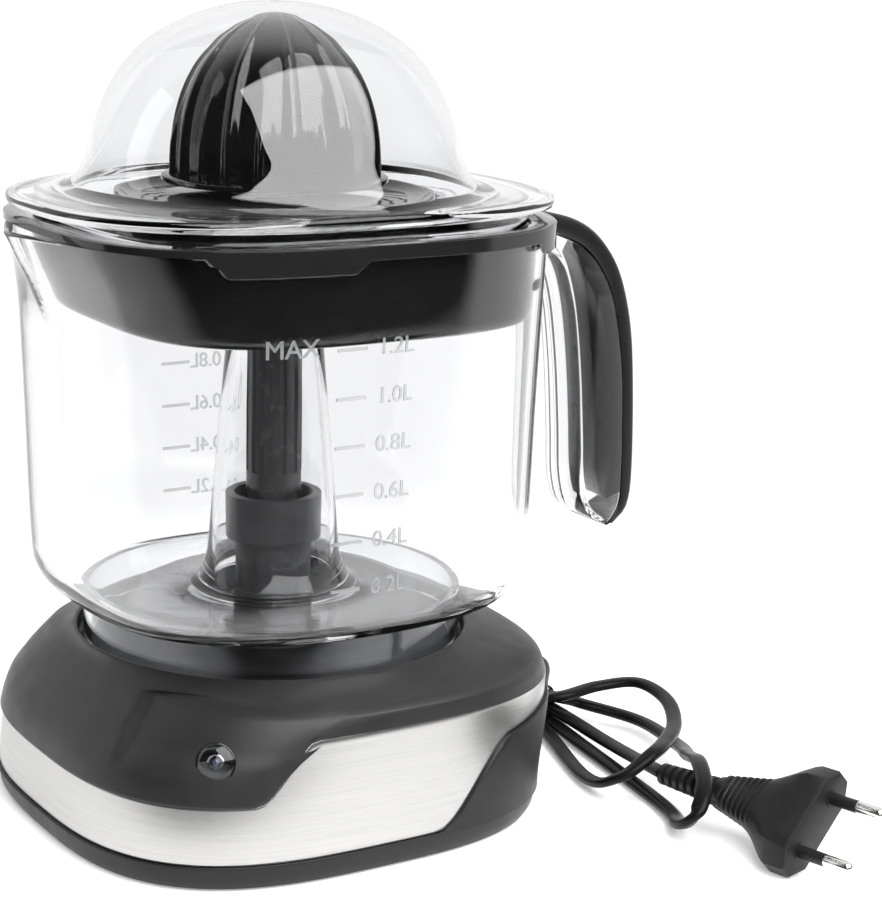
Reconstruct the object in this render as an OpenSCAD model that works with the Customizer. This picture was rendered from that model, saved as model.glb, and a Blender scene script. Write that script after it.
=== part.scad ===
// Electric citrus press: a motor base with a clear jug, a strainer basket,
// two reamers and a dust cover that stack on one vertical drive shaft.
// The origin is on the shaft's axis at the level of the table. +Z is up,
// +X points to the jug's handle, and -Y to the face with the litre marks.

/* [Base] */
// Half length of the base at its foot, along X
base_half_x = 76; // [74:0.5:78]
// Half width of the base at its foot, along Y
base_half_y = 75; // [73:0.5:77]
// How square the base's outline is (2 is an ellipse)
base_squareness = 2.95; // [2.6:0.05:3.4]
// Height of the base's lower rim, where the steel band starts
band_bottom = 8.2; // [7.5:0.1:9]
// Height of the band's low part, at the spout end
band_low_top = 25.4; // [24:0.1:27]
// Height of the band's tall part, on the sides
band_high_top = 43.4; // [42:0.1:44]
// Height of the rim of the recess that the jug stands in
base_top = 55.5; // [55:0.1:56]

/* [Jug] */
// Height of the jug's rim above the table
jug_rim = 180; // [178:0.5:181]
// Thickness of the jug's wall
jug_wall = 2.5; // [2:0.1:3]
// Width of the handle
handle_w = 20.6; // [18:0.2:24]

/* [Cover] */
// Height of the whole press, at the top of the dust cover
cover_top = 245.6; // [245:0.1:247]
// Thickness of the dust cover's wall
cover_wall = 1.8; // [1.4:0.1:2]

/* [Drive] */
// Radius of the drive shaft
shaft_r = 8.5; // [8.3:0.1:8.6]
// Gear tooth size (module)
gear_module = 1; // [1]
// Teeth on the output gear
output_teeth = 56; // [56]
// Teeth on the idler's small gear, which drives the output gear
idler_small_teeth = 14; // [14]
// Teeth on the idler's large gear
idler_large_teeth = 42; // [42]
// Teeth on the motor's pinion
pinion_teeth = 12; // [12]

/* [Cord] */
// Width of the flat mains cord
cord_w = 5.2; // [4.8:0.1:5.4]
// Thickness of the flat mains cord
cord_t = 3.4; // [3:0.1:3.6]

/* [Hidden] */

$fn = 64;
ring_steps = 64;
gap = 0.3;

// ---- heights, from the table up
foot_h = 1.2;
tray_floor = 4.2;
plate_z = 32.5;
plate_t = 2;
level_1 = 36;
level_2 = 42.2;
gear_h = 5;
recess_floor = 51.6;
recess_under = 49.2;
jug_under = 66.4;
jug_floor = 69;
chimney_top = 150;
collar_bottom = 83;
collar_top = 97;
shoulder_z = 62;
shaft_body_top = 183;
shaft_end_z = 164;
shaft_tip_top = 204;
basket_under = 153.2;
basket_floor = 155.2;
flange_z = 180.3;
flange_top = 182.6;
brim_z = 186.2;
brim_top = 189.3;
strainer_top = 189;
cone_z = 192;
cone_apex = 242;

// ---- radii and outlines
recess_r = 60;
foot_ring_r = 58.2;
foot_ring_wall = 2.4;
sleeve_r = 11.8;
collar_r = 14.8;
sleeve_bore = shaft_r + 0.6;
shaft_end_r = shaft_r - 0.5;
hex_r = 5.2;
tip_hex_r = 6.5;
strainer_r = 48;
hub_r = 12.5;
dome_foot_r = 61;

// ---- drive layout
idler_dir = 200;
motor_dir = -50;
idler_distance = gear_module * (output_teeth + idler_small_teeth) / 2;
motor_distance = gear_module * (idler_large_teeth + pinion_teeth) / 2;
idler_at = idler_distance * [cos(idler_dir), sin(idler_dir)];
motor_at = idler_at + motor_distance * [cos(motor_dir), sin(motor_dir)];
motor_screw_x = 22;
stator_size = [56, 44, 16];
stator_z = 11;

// ---- fastener places
tray_screw_at = [52, 38];
terminal_at = [12, 52];
post_at = [[42, 30], [30, -46], [-38, 32], [-60, -16]];
feet_at = [38, 56];

// ---- switch, under the foot of the shaft
lever_pivot = [0, 22, 23];
lever_t = 2;
lever_pin_r = 1;

// ---- indicator on the casing
lens_at = [-51.2, -63.8, 38];
lens_dir = -129;
lens_tilt = 16;
lens_r = 5.5;

// ---- mains cord: where it leaves the base, and the plug's pose
exit_dir = 51;
exit_r = 83;
exit_z = 13;
relief_len = 30;
plug_at = [108.4, -136.4, 14.3];
plug_turn = [-47.6, -2.75, -80.8];
plug_relief_end = 62;
pin_spread = 9.5;
pin_len = 19;

function sgn(v) = v < 0 ? -1 : 1;

// A rounded-square outline: |x/a|^n + |y/b|^n = 1, shifted by cx
function squircle(a, b, n, cx = 0) =
    [for (i = [0:ring_steps - 1]) let (t = 360 * i / ring_steps, c = cos(t), s = sin(t))
        [cx + a * sgn(c) * pow(abs(c), 2 / n), b * sgn(s) * pow(abs(s), 2 / n)]];

// Smooth step from 0 to 1
function ease(t) = t * t * (3 - 2 * t);

// A curve that passes through hand-set points, each a vector of any size
function catmull(p, steps) = [
    for (i = [0:len(p) - 2]) for (k = [0:steps - 1])
        let (t = k / steps, b = p[i], c = p[i + 1],
             a = i == 0 ? 2 * b - c : p[i - 1], d = i == len(p) - 2 ? 2 * c - b : p[i + 2])
        0.5 * (2 * b + (c - a) * t + (2 * a - 5 * b + 4 * c - d) * t * t
               + (3 * b - a - 3 * c + d) * t * t * t),
    p[len(p) - 1]
];

// A closed solid through a stack of equal rings of 3-D points
module skin(rings) {
    n = len(rings[0]);
    last = (len(rings) - 1) * n;
    sides = [for (k = [0:len(rings) - 2]) for (i = [0:n - 1]) let (j = (i + 1) % n)
        [k * n + i, (k + 1) * n + i, (k + 1) * n + j, k * n + j]];
    polyhedron([for (r = rings) for (p = r) p],
               concat([[for (i = [0:n - 1]) i]], sides, [[for (i = [n - 1:-1:0]) last + i]]));
}

// A solid lofted through outlines [z, a, b, squareness, cx]
module loft(outlines) {
    skin([for (o = outlines) [for (p = squircle(o[1], o[2], o[3], o[4])) [p[0], p[1], o[0]]]]);
}

// The same outlines, pulled in by d
function inset(outlines, d) = [for (o = outlines) [o[0], o[1] - d, o[2] - d, o[3], o[4]]];

// A solid that fills one side of a curve in the XZ plane, across the whole base
module under_curve(curve, bottom) {
    rotate([90, 0, 0])
        linear_extrude(200, center = true)
            polygon(concat(curve, [[120, bottom], [-120, bottom]]));
}

module at_corners(place) {
    for (sx = [-1, 1], sy = [-1, 1]) translate([sx * place[0], sy * place[1], 0]) children();
}

// ---- outlines of the base
tray_outline = [
    [foot_h, base_half_x - 1, base_half_y - 1, base_squareness, -1.9],
    [foot_h + 2, base_half_x + 0.4, base_half_y + 0.2, base_squareness, -1.9],
    [band_bottom - 0.2, base_half_x + 1.6, base_half_y + 1.5, base_squareness, -1.8]
];
band_outline = [
    [band_bottom, 77.2, 76, 2.95, -1.7],
    [band_high_top, 77.4, 75.6, 2.9, 1.6]
];
dome_outline = [
    [band_low_top + 0.2, 78, 76.8, 2.95, -0.5],
    [30, 77.8, 76.7, 2.9, 0.4],
    [36, 77.2, 76.6, 2.85, 2],
    [41, 75.8, 76.4, 2.75, 4.2],
    [46, 72.4, 75.8, 2.7, 6.3],
    [49, 70.2, 74.4, 2.65, 7.2],
    [51.5, 67, 69.6, 2.45, 5.6],
    [53.7, 63.8, 65, 2.25, 3],
    [base_top, 61.3, 61.6, 2, 0]
];

// Upper edge of the band: low round the spout end, then up to the side panels
function band_top_curve(lift = 0) = concat(
    [[-120, band_low_top + lift]],
    [for (k = [0:8]) [-44 + 16 * k / 8,
        band_low_top + (band_high_top - band_low_top) * ease(k / 8) + lift]],
    [[120, band_high_top + lift]]);

// Lower edge of the band: level, then up over the raised end of the tray
function band_bottom_curve(drop = 0) = concat(
    [[-120, band_bottom - drop]],
    [for (k = [0:8]) [16 + 26 * k / 8, band_bottom + 25.3 * ease(k / 8) - drop]],
    [[55, 35.5 - drop], [90, 38 - drop], [120, 38 - drop]]);

// ---- base, outside
module base_tray() {
    raised = [[band_bottom - 0.2, 78.1, 76.9, 2.95, -1.7], [40, 78.6, 77, 2.9, 1.4]];
    color("#1c1c1d") difference() {
        union() {
            loft(tray_outline);
            intersection() {
                difference() {
                    loft(raised);
                    translate([0, 0, -0.1]) loft(inset(raised, 1.9));
                }
                under_curve(band_bottom_curve(0.2), 0);
            }
            for (p = post_at) translate([p[0], p[1], foot_h]) cylinder(r = 4, h = plate_z - foot_h);
        }
        difference() {
            loft(inset([[tray_floor, 75, 74, 2.95, -1.9], [band_bottom, 76, 75, 2.95, -1.8]], 2));
            for (p = post_at) translate([p[0], p[1], foot_h]) cylinder(r = 4, h = plate_z);
            at_corners(tray_screw_at) cylinder(r = 5, h = band_bottom - 0.2);
        }
        for (p = post_at) translate([p[0], p[1], plate_z - 14]) cylinder(r = 1.3, h = 20);
        at_corners(tray_screw_at) {
            translate([0, 0, -1]) cylinder(r = 1.7, h = 20);
            translate([0, 0, -1]) cylinder(r = 3.4, h = 5);
        }
        translate([0, 0, -1]) cylinder(r = 7.1, h = 3.6);
        at_corners(feet_at) translate([0, 0, -1]) cylinder(r = 7.1, h = 3.6);
        rotate([0, 0, exit_dir]) translate([exit_r - 12, 0, exit_z]) rotate([0, 90, 0])
            cylinder(r = 5.2, h = 20);
    }
}

module foot() {
    cylinder(r1 = 6.2, r2 = 7, h = 0.8);
    translate([0, 0, 0.8]) cylinder(r = 7, h = 1.8);
}

// Four feet at the corners and one under the motor
module rubber_feet() {
    color("#2a2a2a") {
        foot();
        at_corners(feet_at) foot();
    }
}

// A screw with its head down at z = 0 and its shank up
module screw(r, head_r, head_h, length) {
    cylinder(r = head_r, h = head_h);
    translate([0, 0, head_h]) cylinder(r = r, h = length);
}

module tray_screws() {
    color("silver") at_corners(tray_screw_at) translate([0, 0, 1.7]) screw(1.25, 3.1, 2.2, 18);
}

module steel_band() {
    color("#c4c5c6") difference() {
        loft(band_outline);
        loft(inset([[band_bottom - 1, 77.2, 76, 2.95, -1.7],
                    [band_high_top + 1, 77.4, 75.6, 2.9, 1.6]], 1));
        difference() {
            translate([-100, -100, 0]) cube([200, 200, 60]);
            under_curve(band_top_curve(), 0);
        }
        under_curve(band_bottom_curve(), -1);
    }
}

module top_casing() {
    skirt = [[band_bottom, 76, 74.8, 2.95, -1.7], [band_high_top + 1.2, 76.2, 74.4, 2.9, 1.7]];
    color("#222223") difference() {
        union() {
            // The visible dome, cut away where the band shows
            difference() {
                loft(dome_outline);
                difference() {
                    loft(inset([for (o = dome_outline) if (o[0] < 54) o], 2.4));
                    translate([0, 0, recess_under]) cylinder(r = 62.5, h = 20);
                }
                translate([0, 0, recess_under - 1]) cylinder(r = recess_r, h = 4);
                difference() {
                    under_curve(band_top_curve(0.2), 0);
                    loft(skirt);
                }
            }
            // The skirt that the band is wrapped around
            intersection() {
                difference() {
                    loft(skirt);
                    translate([0, 0, -0.1]) loft(inset(skirt, 2.2));
                    translate([0, 0, 36]) loft(inset(skirt, 2.2));
                }
                under_curve(band_top_curve(1.2), 0);
            }
            at_corners(tray_screw_at) translate([0, 0, band_bottom])
                cylinder(r = 4, h = recess_floor - 1 - band_bottom);
        }
        translate([0, 0, recess_floor - 1]) cylinder(r = recess_r, h = 10);
        at_corners(tray_screw_at) translate([0, 0, band_bottom - 1]) cylinder(r = 1.25, h = 22);
        indicator_bore();
        rotate([0, 0, exit_dir]) translate([exit_r - 14, 0, exit_z]) rotate([0, 90, 0])
            cylinder(r = 5.2, h = 20);
    }
}

// Floor of the recess that the jug stands in
module recess_plate() {
    color("#222223") difference() {
        translate([0, 0, recess_under]) cylinder(r = recess_r, h = recess_floor - recess_under);
        cylinder(r = sleeve_bore, h = 60);
        for (k = [0:2]) rotate([0, 0, 60 + 120 * k]) translate([16.5, 0, 40])
            cylinder(r = 1.3, h = 20);
    }
}

// Place things on the indicator's axis, with +X pointing out of the casing
module on_indicator() {
    translate(lens_at) rotate([0, -lens_tilt, lens_dir]) rotate([0, 90, 0]) children();
}

module indicator_bore() {
    on_indicator() translate([0, 0, -10]) cylinder(r = lens_r + 0.1, h = 16);
}

module indicator_lens() {
    dome_h = 1.3;
    dome_r = (lens_r * lens_r + dome_h * dome_h) / (2 * dome_h);
    color([0.9, 0.92, 0.95, 0.6]) on_indicator() {
        translate([0, 0, -5]) cylinder(r = lens_r, h = 5.2);
        intersection() {
            translate([0, 0, 0.2 + dome_h - dome_r]) sphere(r = dome_r);
            translate([0, 0, 0.2]) cylinder(r = lens_r, h = 4);
        }
    }
}

module indicator_board() {
    color("#2f6f3a") on_indicator() {
        translate([-6, -5, -12]) cube([12, 10, 1.6]);
        translate([0, 0, -10.4]) cylinder(r = 2.5, h = 3);
        translate([0, 0, -7.4]) sphere(r = 2.5);
    }
}

// ---- base, spindle
module spindle_housing() {
    color("#2b2b2d") difference() {
        union() {
            translate([0, 0, recess_floor]) cylinder(r = 19, h = 2.4);
            translate([0, 0, recess_floor + 2.4]) cylinder(r1 = 15, r2 = sleeve_r, h = 10);
            translate([0, 0, recess_floor]) cylinder(r = sleeve_r, h = collar_bottom - recess_floor);
            translate([0, 0, collar_bottom]) cylinder(r = collar_r, h = collar_top - collar_bottom);
        }
        translate([0, 0, recess_floor - 1]) cylinder(r = sleeve_bore, h = 60);
        translate([0, 0, collar_bottom]) cylinder(r = 11, h = 10);
        translate([0, 0, collar_bottom + 9.9]) cylinder(r1 = 11, r2 = 12.4, h = 5);
        for (k = [0:2]) rotate([0, 0, 60 + 120 * k]) translate([16.5, 0, recess_floor - 1])
            cylinder(r = 1.3, h = 10);
    }
}

module spindle_bush() {
    color("#b08d57") difference() {
        translate([0, 0, collar_bottom]) cylinder(r = 10.99, h = 9);
        translate([0, 0, collar_bottom - 1]) cylinder(r = shaft_r + 0.05, h = 12);
    }
}

// ---- base, gear train and motor
module chassis_plate() {
    outline = [[50, 18], [48, 32], [41, 37], [-41, 38], [-67, -10], [-67, -22], [-42, -36], [22, -54],
               [37, -53]];
    color("#a9adb0") difference() {
        translate([0, 0, plate_z]) linear_extrude(plate_t) polygon(outline);
        cylinder(r = 10.5, h = 50);
        translate(idler_at) cylinder(r = 2, h = 50);
        translate(motor_at) cylinder(r = 4, h = 50);
        for (sx = [-1, 1]) translate(motor_at + [sx * motor_screw_x, 0]) cylinder(r = 1.5, h = 50);
        for (p = post_at) translate(p) cylinder(r = 1.6, h = 50);
    }
}

module chassis_screws() {
    color("silver") for (p = post_at) translate([p[0], p[1], plate_z + plate_t + 2])
        mirror([0, 0, 1]) screw(1.25, 2.9, 2, 12);
}

module lower_bush() {
    color("#b08d57") difference() {
        union() {
            translate([0, 0, plate_z - 3]) cylinder(r = 10.5, h = plate_t + 3);
            translate([0, 0, plate_z + plate_t]) cylinder(r = 12.5, h = 0.8);
        }
        translate([0, 0, plate_z - 4]) cylinder(r = 8.05, h = 10);
    }
}

// Involute tooth flanks, in polar form: the angle of the flank at radius r
function involute_angle(r, base_r) = let (a = acos(min(1, base_r / r))) tan(a) * 180 / PI - a;

// A spur gear's outline, with a tooth centred on +X
function gear_outline(teeth) = let (
        pitch_r = gear_module * teeth / 2,
        base_r = pitch_r * cos(20),
        tip_r = pitch_r + 0.75 * gear_module,
        root_r = pitch_r - 1.05 * gear_module,
        half_tooth = 90 / teeth - 9 * gear_module / pitch_r,
        start_r = max(base_r, root_r),
        at_pitch = involute_angle(pitch_r, base_r),
        steps = 4,
        flank = [for (k = [0:steps]) let (r = start_r + (tip_r - start_r) * k / steps)
            [r, half_tooth + at_pitch - involute_angle(r, base_r)]],
        side = concat([[root_r, half_tooth + at_pitch + 0.5]], flank),
        n = len(side)
    ) [for (t = [0:teeth - 1]) let (c = 360 * t / teeth) for (k = [0:2 * n - 1])
        let (p = k < n ? side[k] : side[2 * n - 1 - k], a = k < n ? c - p[1] : c + p[1])
        p[0] * [cos(a), sin(a)]];

module gear(teeth, h) {
    linear_extrude(h) polygon(gear_outline(teeth));
}

module output_gear() {
    color("#e8e4d6") rotate([0, 0, idler_dir]) difference() {
        union() {
            translate([0, 0, level_2]) gear(output_teeth, gear_h);
            translate([0, 0, plate_z + plate_t + 1.2]) cylinder(r = 10.4, h = level_2 - plate_z - plate_t);
            translate([0, 0, plate_z - 2.5]) cylinder(r = 8, h = 8);
        }
        translate([0, 0, plate_z - 4]) cylinder(r = hex_r + 0.4, h = 30, $fn = 6);
        translate([0, 0, level_2 + gear_h - 1.6]) difference() {
            cylinder(r = 24.5, h = 4);
            cylinder(r = 11, h = 4);
        }
    }
}

module idler_axle() {
    color("silver") translate([idler_at[0], idler_at[1], plate_z - 2]) cylinder(r = 2, h = 16);
}

module idler_gear() {
    color("#e8e4d6") translate(idler_at) difference() {
        union() {
            translate([0, 0, level_1]) rotate([0, 0, motor_dir]) gear(idler_large_teeth, gear_h);
            translate([0, 0, level_1 + gear_h]) rotate([0, 0, idler_dir + 180 + 180 / idler_small_teeth])
                gear(idler_small_teeth, gear_h + 1.2);
            translate([0, 0, plate_z + plate_t + 0.3]) cylinder(r = 5, h = 1.4);
        }
        translate([0, 0, plate_z]) cylinder(r = 2.05, h = 30);
    }
}

module motor_pinion() {
    color("#e8e4d6") translate([motor_at[0], motor_at[1], level_1]) difference() {
        rotate([0, 0, motor_dir + 180 + 180 / pinion_teeth]) gear(pinion_teeth, gear_h);
        translate([0, 0, -1]) cylinder(r = 2, h = gear_h + 2);
    }
}

module rotor() {
    color("#8d8f92") translate([motor_at[0], motor_at[1], stator_z]) difference() {
        translate([0, 0, 0.5]) cylinder(r = 12.4, h = stator_size[2] - 1);
        translate([0, 0, -1]) cylinder(r = 2, h = stator_size[2] + 2);
    }
}

module rotor_shaft() {
    color("silver") translate([motor_at[0], motor_at[1], 6.4]) cylinder(r = 2, h = level_1 + gear_h - 6.4);
}

module motor_stator() {
    color("#77797c") translate([motor_at[0], motor_at[1], stator_z]) difference() {
        translate([-stator_size[0] / 2, -stator_size[1] / 2, 0]) cube(stator_size);
        translate([0, 0, -1]) cylinder(r = 12.9, h = 20);
        for (sx = [-1, 1]) translate([sx * motor_screw_x, 0, -1]) cylinder(r = 1.6, h = 20);
        translate([-16, -20, -1]) cube([32, 4.5, 20]);
    }
}

// The winding on the stator's outer leg, in two halves above and below it
module motor_coil() {
    color("#a5642f") translate([motor_at[0], motor_at[1] - 17.75, stator_z + stator_size[2] / 2])
        difference() {
            translate([-15, -6.5, -10.4]) cube([30, 8.4, 20.8]);
            translate([-16, -4.4, -8.2]) cube([32, 2.3, 16.4]);
        }
}

module motor_bracket(z, bore_z) {
    translate([motor_at[0], motor_at[1], z]) difference() {
        union() {
            translate([-motor_screw_x - 4, -5, 0]) cube([2 * motor_screw_x + 8, 10, 1.6]);
            translate([0, 0, bore_z]) cylinder(r = 5, h = 3);
        }
        translate([0, 0, -4]) cylinder(r = 2.04, h = 10);
        for (sx = [-1, 1]) translate([sx * motor_screw_x, 0, -1]) cylinder(r = 1.6, h = 4);
    }
}

module motor_bracket_top() {
    color("#b9bcbf") motor_bracket(stator_z + stator_size[2], 0);
}

module motor_bracket_bottom() {
    color("#b9bcbf") motor_bracket(stator_z - 1.6, -1.4);
}

module motor_screws() {
    color("silver") for (sx = [-1, 1])
        translate([motor_at[0] + sx * motor_screw_x, motor_at[1], stator_z - 3.6])
            screw(1.45, 2.6, 2, plate_z + plate_t - stator_z + 1.6);
    color("silver") for (sx = [-1, 1])
        translate([motor_at[0] + sx * motor_screw_x, motor_at[1], stator_z + stator_size[2] + 1.6])
            difference() {
                cylinder(r = 3, h = plate_z - stator_z - stator_size[2] - 1.6);
                translate([0, 0, -1]) cylinder(r = 1.45, h = 10);
            }
}

// ---- drive shaft, its spring and the switch under it
module drive_shaft() {
    flutes = 12;
    color("#3a3a3d") rotate([0, 0, idler_dir]) {
        translate([0, 0, 26]) cylinder(r = hex_r, h = shoulder_z - 26, $fn = 6);
        translate([0, 0, 24.4]) cylinder(r = 2, h = 1.6);
        translate([0, 0, shoulder_z]) cylinder(r = shaft_r, h = 38);
        translate([0, 0, shaft_end_z]) cylinder(r = shaft_end_r, h = shaft_body_top - shaft_end_z);
        difference() {
            translate([0, 0, 100]) cylinder(r = shaft_r, h = shaft_end_z - 100);
            for (k = [0:flutes - 1]) rotate([0, 0, 360 * k / flutes]) translate([shaft_r + 0.5, 0, 104])
                cylinder(r = 1.3, h = 62, $fn = 16);
        }
        translate([0, 0, shaft_body_top]) cylinder(r = tip_hex_r, h = shaft_tip_top - shaft_body_top - 2,
                                                   $fn = 6);
        translate([0, 0, shaft_tip_top - 2]) cylinder(r = 4.6, h = 2);
    }
}

module shaft_clip() {
    color("silver") rotate([0, 0, idler_dir]) translate([0, 0, 28.5]) difference() {
        cylinder(r = 7, h = 1);
        translate([0, 0, -1]) cylinder(r = hex_r, h = 3, $fn = 6);
    }
}

module return_spring() {
    turns = 4.5;
    wire_r = 0.55;
    coil_r = 7;
    z0 = level_2 + gear_h + wire_r + 0.15;
    z1 = shoulder_z - wire_r - 0.15;
    steps = 54;
    color("#9a9ea2") skin([for (k = [0:steps])
            let (a = 360 * turns * k / steps, z = z0 + (z1 - z0) * k / steps)
        [for (j = [0:5]) let (b = -60 * j, r = coil_r + wire_r * cos(b))
            [r * cos(a), r * sin(a), z + wire_r * sin(b)]]]);
}

module microswitch() {
    color("#33312f") difference() {
        union() {
            translate([-3.2, 3, 6]) cube([6.4, 18, 12.7]);
            translate([-8, 1, tray_floor]) cube([16, 26, 1.8]);
            for (sx = [-1, 1]) translate([sx * 6.6 - 1.2, 18.5, 6]) cube([2.4, 7, 19.5]);
        }
        translate([-10, lever_pivot[1], lever_pivot[2]]) rotate([0, 90, 0])
            cylinder(r = lever_pin_r, h = 20);
        translate([-1.2, 10.4, 16.2]) cube([2.4, 3.2, 5]);
    }
}

module switch_button() {
    color("#b23a2a") translate([-0.9, 10.7, 17.6]) cube([1.8, 2.6, 4]);
}

module switch_lever() {
    color("#d8d8d2") difference() {
        union() {
            translate([-3.4, -4, lever_pivot[2] - 1]) cube([6.8, 26, lever_t]);
            translate([-5, lever_pivot[1], lever_pivot[2]]) rotate([0, 90, 0]) cylinder(r = 2.2, h = 10);
        }
        translate([-6, lever_pivot[1], lever_pivot[2]]) rotate([0, 90, 0])
            cylinder(r = lever_pin_r + 0.05, h = 12);
    }
}

module lever_pin() {
    color("silver") translate([-7.8, lever_pivot[1], lever_pivot[2]]) rotate([0, 90, 0])
        cylinder(r = lever_pin_r, h = 15.6);
}

// ---- mains entry
module on_exit() {
    rotate([0, 0, exit_dir]) translate([exit_r, 0, exit_z]) children();
}

module terminal_block() {
    color("#e9e6da") translate([terminal_at[0], terminal_at[1], tray_floor]) difference() {
        translate([-9, -4.5, 0]) cube([18, 9, 14]);
        for (sx = [-1, 1]) {
            translate([sx * 4.5, -5, 8]) rotate([-90, 0, 0]) cylinder(r = 2, h = 10);
            translate([sx * 4.5, 0, 9]) cylinder(r = 1.6, h = 6);
        }
    }
}

module cord_clamp() {
    color("#2d2d2f") on_exit() difference() {
        translate([-19, -8, tray_floor - exit_z]) cube([6, 16, 12]);
        translate([-20, 0, 0]) rotate([0, 90, 0]) cylinder(r = 3.9, h = 9);
        for (sy = [-1, 1]) translate([-16, sy * 6, -9]) cylinder(r = 1.2, h = 20);
    }
}

// Tapered, ribbed strain relief that leaves the raised rear wall of the tray
module cord_relief() {
    color("#151516") on_exit() difference() {
        union() {
            translate([-19, 0, 0]) rotate([0, 90, 0]) cylinder(r = 3.8, h = 16);
            translate([-3.2, 0, 0]) rotate([0, 90, 0]) cylinder(r = 5, h = 6);
            translate([2.8, 0, 0]) rotate([0, 90, 0]) cylinder(r = 6, h = 1.4);
            translate([4.2, 0, 0]) rotate([0, 90, 0]) cylinder(r1 = 4.8, r2 = 3.3, h = relief_len - 4.2);
        }
        for (k = [0:3]) translate([8 + 5 * k, 0, 0]) rotate([0, 90, 0]) difference() {
            cylinder(r = 8, h = 1.6);
            cylinder(r = 3 - 0.2 * k, h = 1.6);
        }
    }
}

// The cord's route from the strain relief to the plug: a lead round to a tied
// hank of loops beside the base, and a short run on to the plug
cord_route = [
    [71.1, 87.8, 13], [80, 98.9, 12.4], [91, 105.5, 11], [101, 97, 9.4], [104.7, 50, 6.3],
    [104.7, 9, 9.8], [109.5, -3, 12.4], [125, -3, 13.5], [136, -11, 15.4], [136, -27, 14.4],
    [125, -46, 13.8], [110, -61, 15.2], [98, -69.5, 15.6], [87.5, -67, 9], [88, -48, 3],
    [104.7, 9, 2.8], [100, 46, 1.9], [88, 76, 1.9], [89, 97, 1.9], [105, 101, 1.9], [113, 66, 3.4],
    [110.3, 9, 9.8], [120, -1, 7.4], [131, -20, 5.2], [124, -50, 7.8], [112.5, -70, 13],
    [103, -87, 18.3], [93.5, -102, 17], [87, -107, 11.5], [87, -99, 5.4], [97, -76, 2.3],
    [110.3, 9, 2.8], [127, 34, 1.9], [142, 57, 1.9], [137, 75, 1.9], [123, 70, 1.9], [114, 42, 2.4],
    [110.3, 9, 6.3], [108.5, -33, 5.6], [98.6, -75.3, 11.3]
];

// A flat oval tube along a route
module flat_cord(route, w, t) {
    line = catmull(route, 2);
    n = len(line);
    color("#171718") skin([for (i = [0:n - 1]) let (
            ahead = line[min(i + 1, n - 1)] - line[max(i - 1, 0)],
            dir = ahead / norm(ahead),
            side = cross(dir, [0, 0, 1]) / norm(cross(dir, [0, 0, 1])),
            up = cross(side, dir))
        [for (k = [0:7]) let (a = 22.5 + 45 * k)
            line[i] + side * (w / 2) * cos(a) + up * (t / 2) * sin(a)]]);
}

module cord() {
    flat_cord(cord_route, cord_w, cord_t);
}

module cord_tie() {
    color("#171718") translate([107.5, 9, 6.6]) rotate([90, 0, 0]) linear_extrude(2.4, center = true)
        difference() {
            offset(r = 1.6) square([12.4, 9.6], center = true);
            offset(r = 0.8) square([12.4, 9.6], center = true);
        }
}

module on_plug() {
    translate(plug_at) rotate(plug_turn) children();
}

// A flat two-pin plug: hexagonal face, flanks drawn in to a ribbed grip and a
// segmented strain relief
module plug_body() {
    face = [[17.6, 2.4], [12, 6.8], [-12, 6.8], [-17.6, 2.4], [-17.6, -2.4], [-12, -6.8], [12, -6.8],
            [17.6, -2.4]];
    color("#19191a") on_plug() difference() {
        union() {
            rotate([0, -90, 0]) linear_extrude(8) polygon(face);
            // Flanks drawn in, from the face's outline to the grip's
            skin([for (k = [0:8]) let (x = -8 - 30 * k / 8, s = 0.28 + 0.72 * exp(-pow(k / 3.3, 2)))
                [for (p = face) [x, p[1] * (1 - 0.022 * k), p[0] * s]]]);
            translate([-plug_relief_end, 0, 0]) rotate([0, 90, 0])
                cylinder(r1 = 3.2, r2 = 4.6, h = plug_relief_end - 37);
        }
        for (k = [0:3]) translate([-44 - 5 * k, 0, 0]) rotate([0, 90, 0]) difference() {
            cylinder(r = 8, h = 1.6);
            cylinder(r = 2.9 - 0.15 * k, h = 1.6);
        }
        for (s = [-1, 1]) translate([-7, 0, s * pin_spread]) rotate([0, 90, 0]) cylinder(r = 2, h = 10);
    }
}

module plug_pins() {
    color("#c9cacc") on_plug() for (s = [-1, 1]) translate([-6, 0, s * pin_spread]) rotate([0, 90, 0]) {
        cylinder(r = 1.98, h = 5 + pin_len);
        translate([0, 0, 5 + pin_len]) sphere(r = 1.98);
    }
}

// ---- jug
jug_outline = [
    [jug_under, 61, 60, 2.6, 2],
    [jug_under + 1.1, 65, 61.6, 2.75, 2.1],
    [jug_under + 3.6, 68.4, 62.7, 2.9, 2.2],
    [jug_under + 9.4, 71, 63.5, 3.1, 2.3],
    [jug_rim, 74.3, 67, 3.1, 2]
];
jug_inside = [
    [jug_floor, 60.4, 59, 2.7, 2],
    [jug_floor + 1.4, 64.8, 60, 2.9, 2.2],
    [jug_floor + 6.6, 68.4, 61, 3.1, 2.3],
    [jug_rim + 1, 74.3 - jug_wall, 67 - jug_wall, 3.1, 2]
];

// The handle's side view, in the XZ plane: the face by the fingers, the
// channel's rim and the outside of the grip, each from the top down
handle_inside = [[72, 167.5], [84, 168.5], [96.5, 165], [102.6, 151], [106, 129], [108, 104], [109, 88],
                 [113, 77.5], [121, 73]];
handle_rim = [[72, 177.5], [84, 175.8], [96.2, 172], [108.5, 166], [117.8, 153.8], [122.8, 136.2],
              [125, 117], [125.8, 90], [125, 79], [121, 73]];
grip_outside = [[80.8, 180.6], [90.4, 179.6], [103.7, 176.4], [113.8, 170.2], [122, 159.1], [127.3, 142.2],
                [129.6, 121.5], [130.6, 92], [128.8, 78.6], [123.4, 73.4]];

module side_profile(points, w) {
    rotate([90, 0, 0]) linear_extrude(w, center = true) polygon(points);
}

function reversed(list) = [for (i = [len(list) - 1:-1:0]) list[i]];

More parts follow.
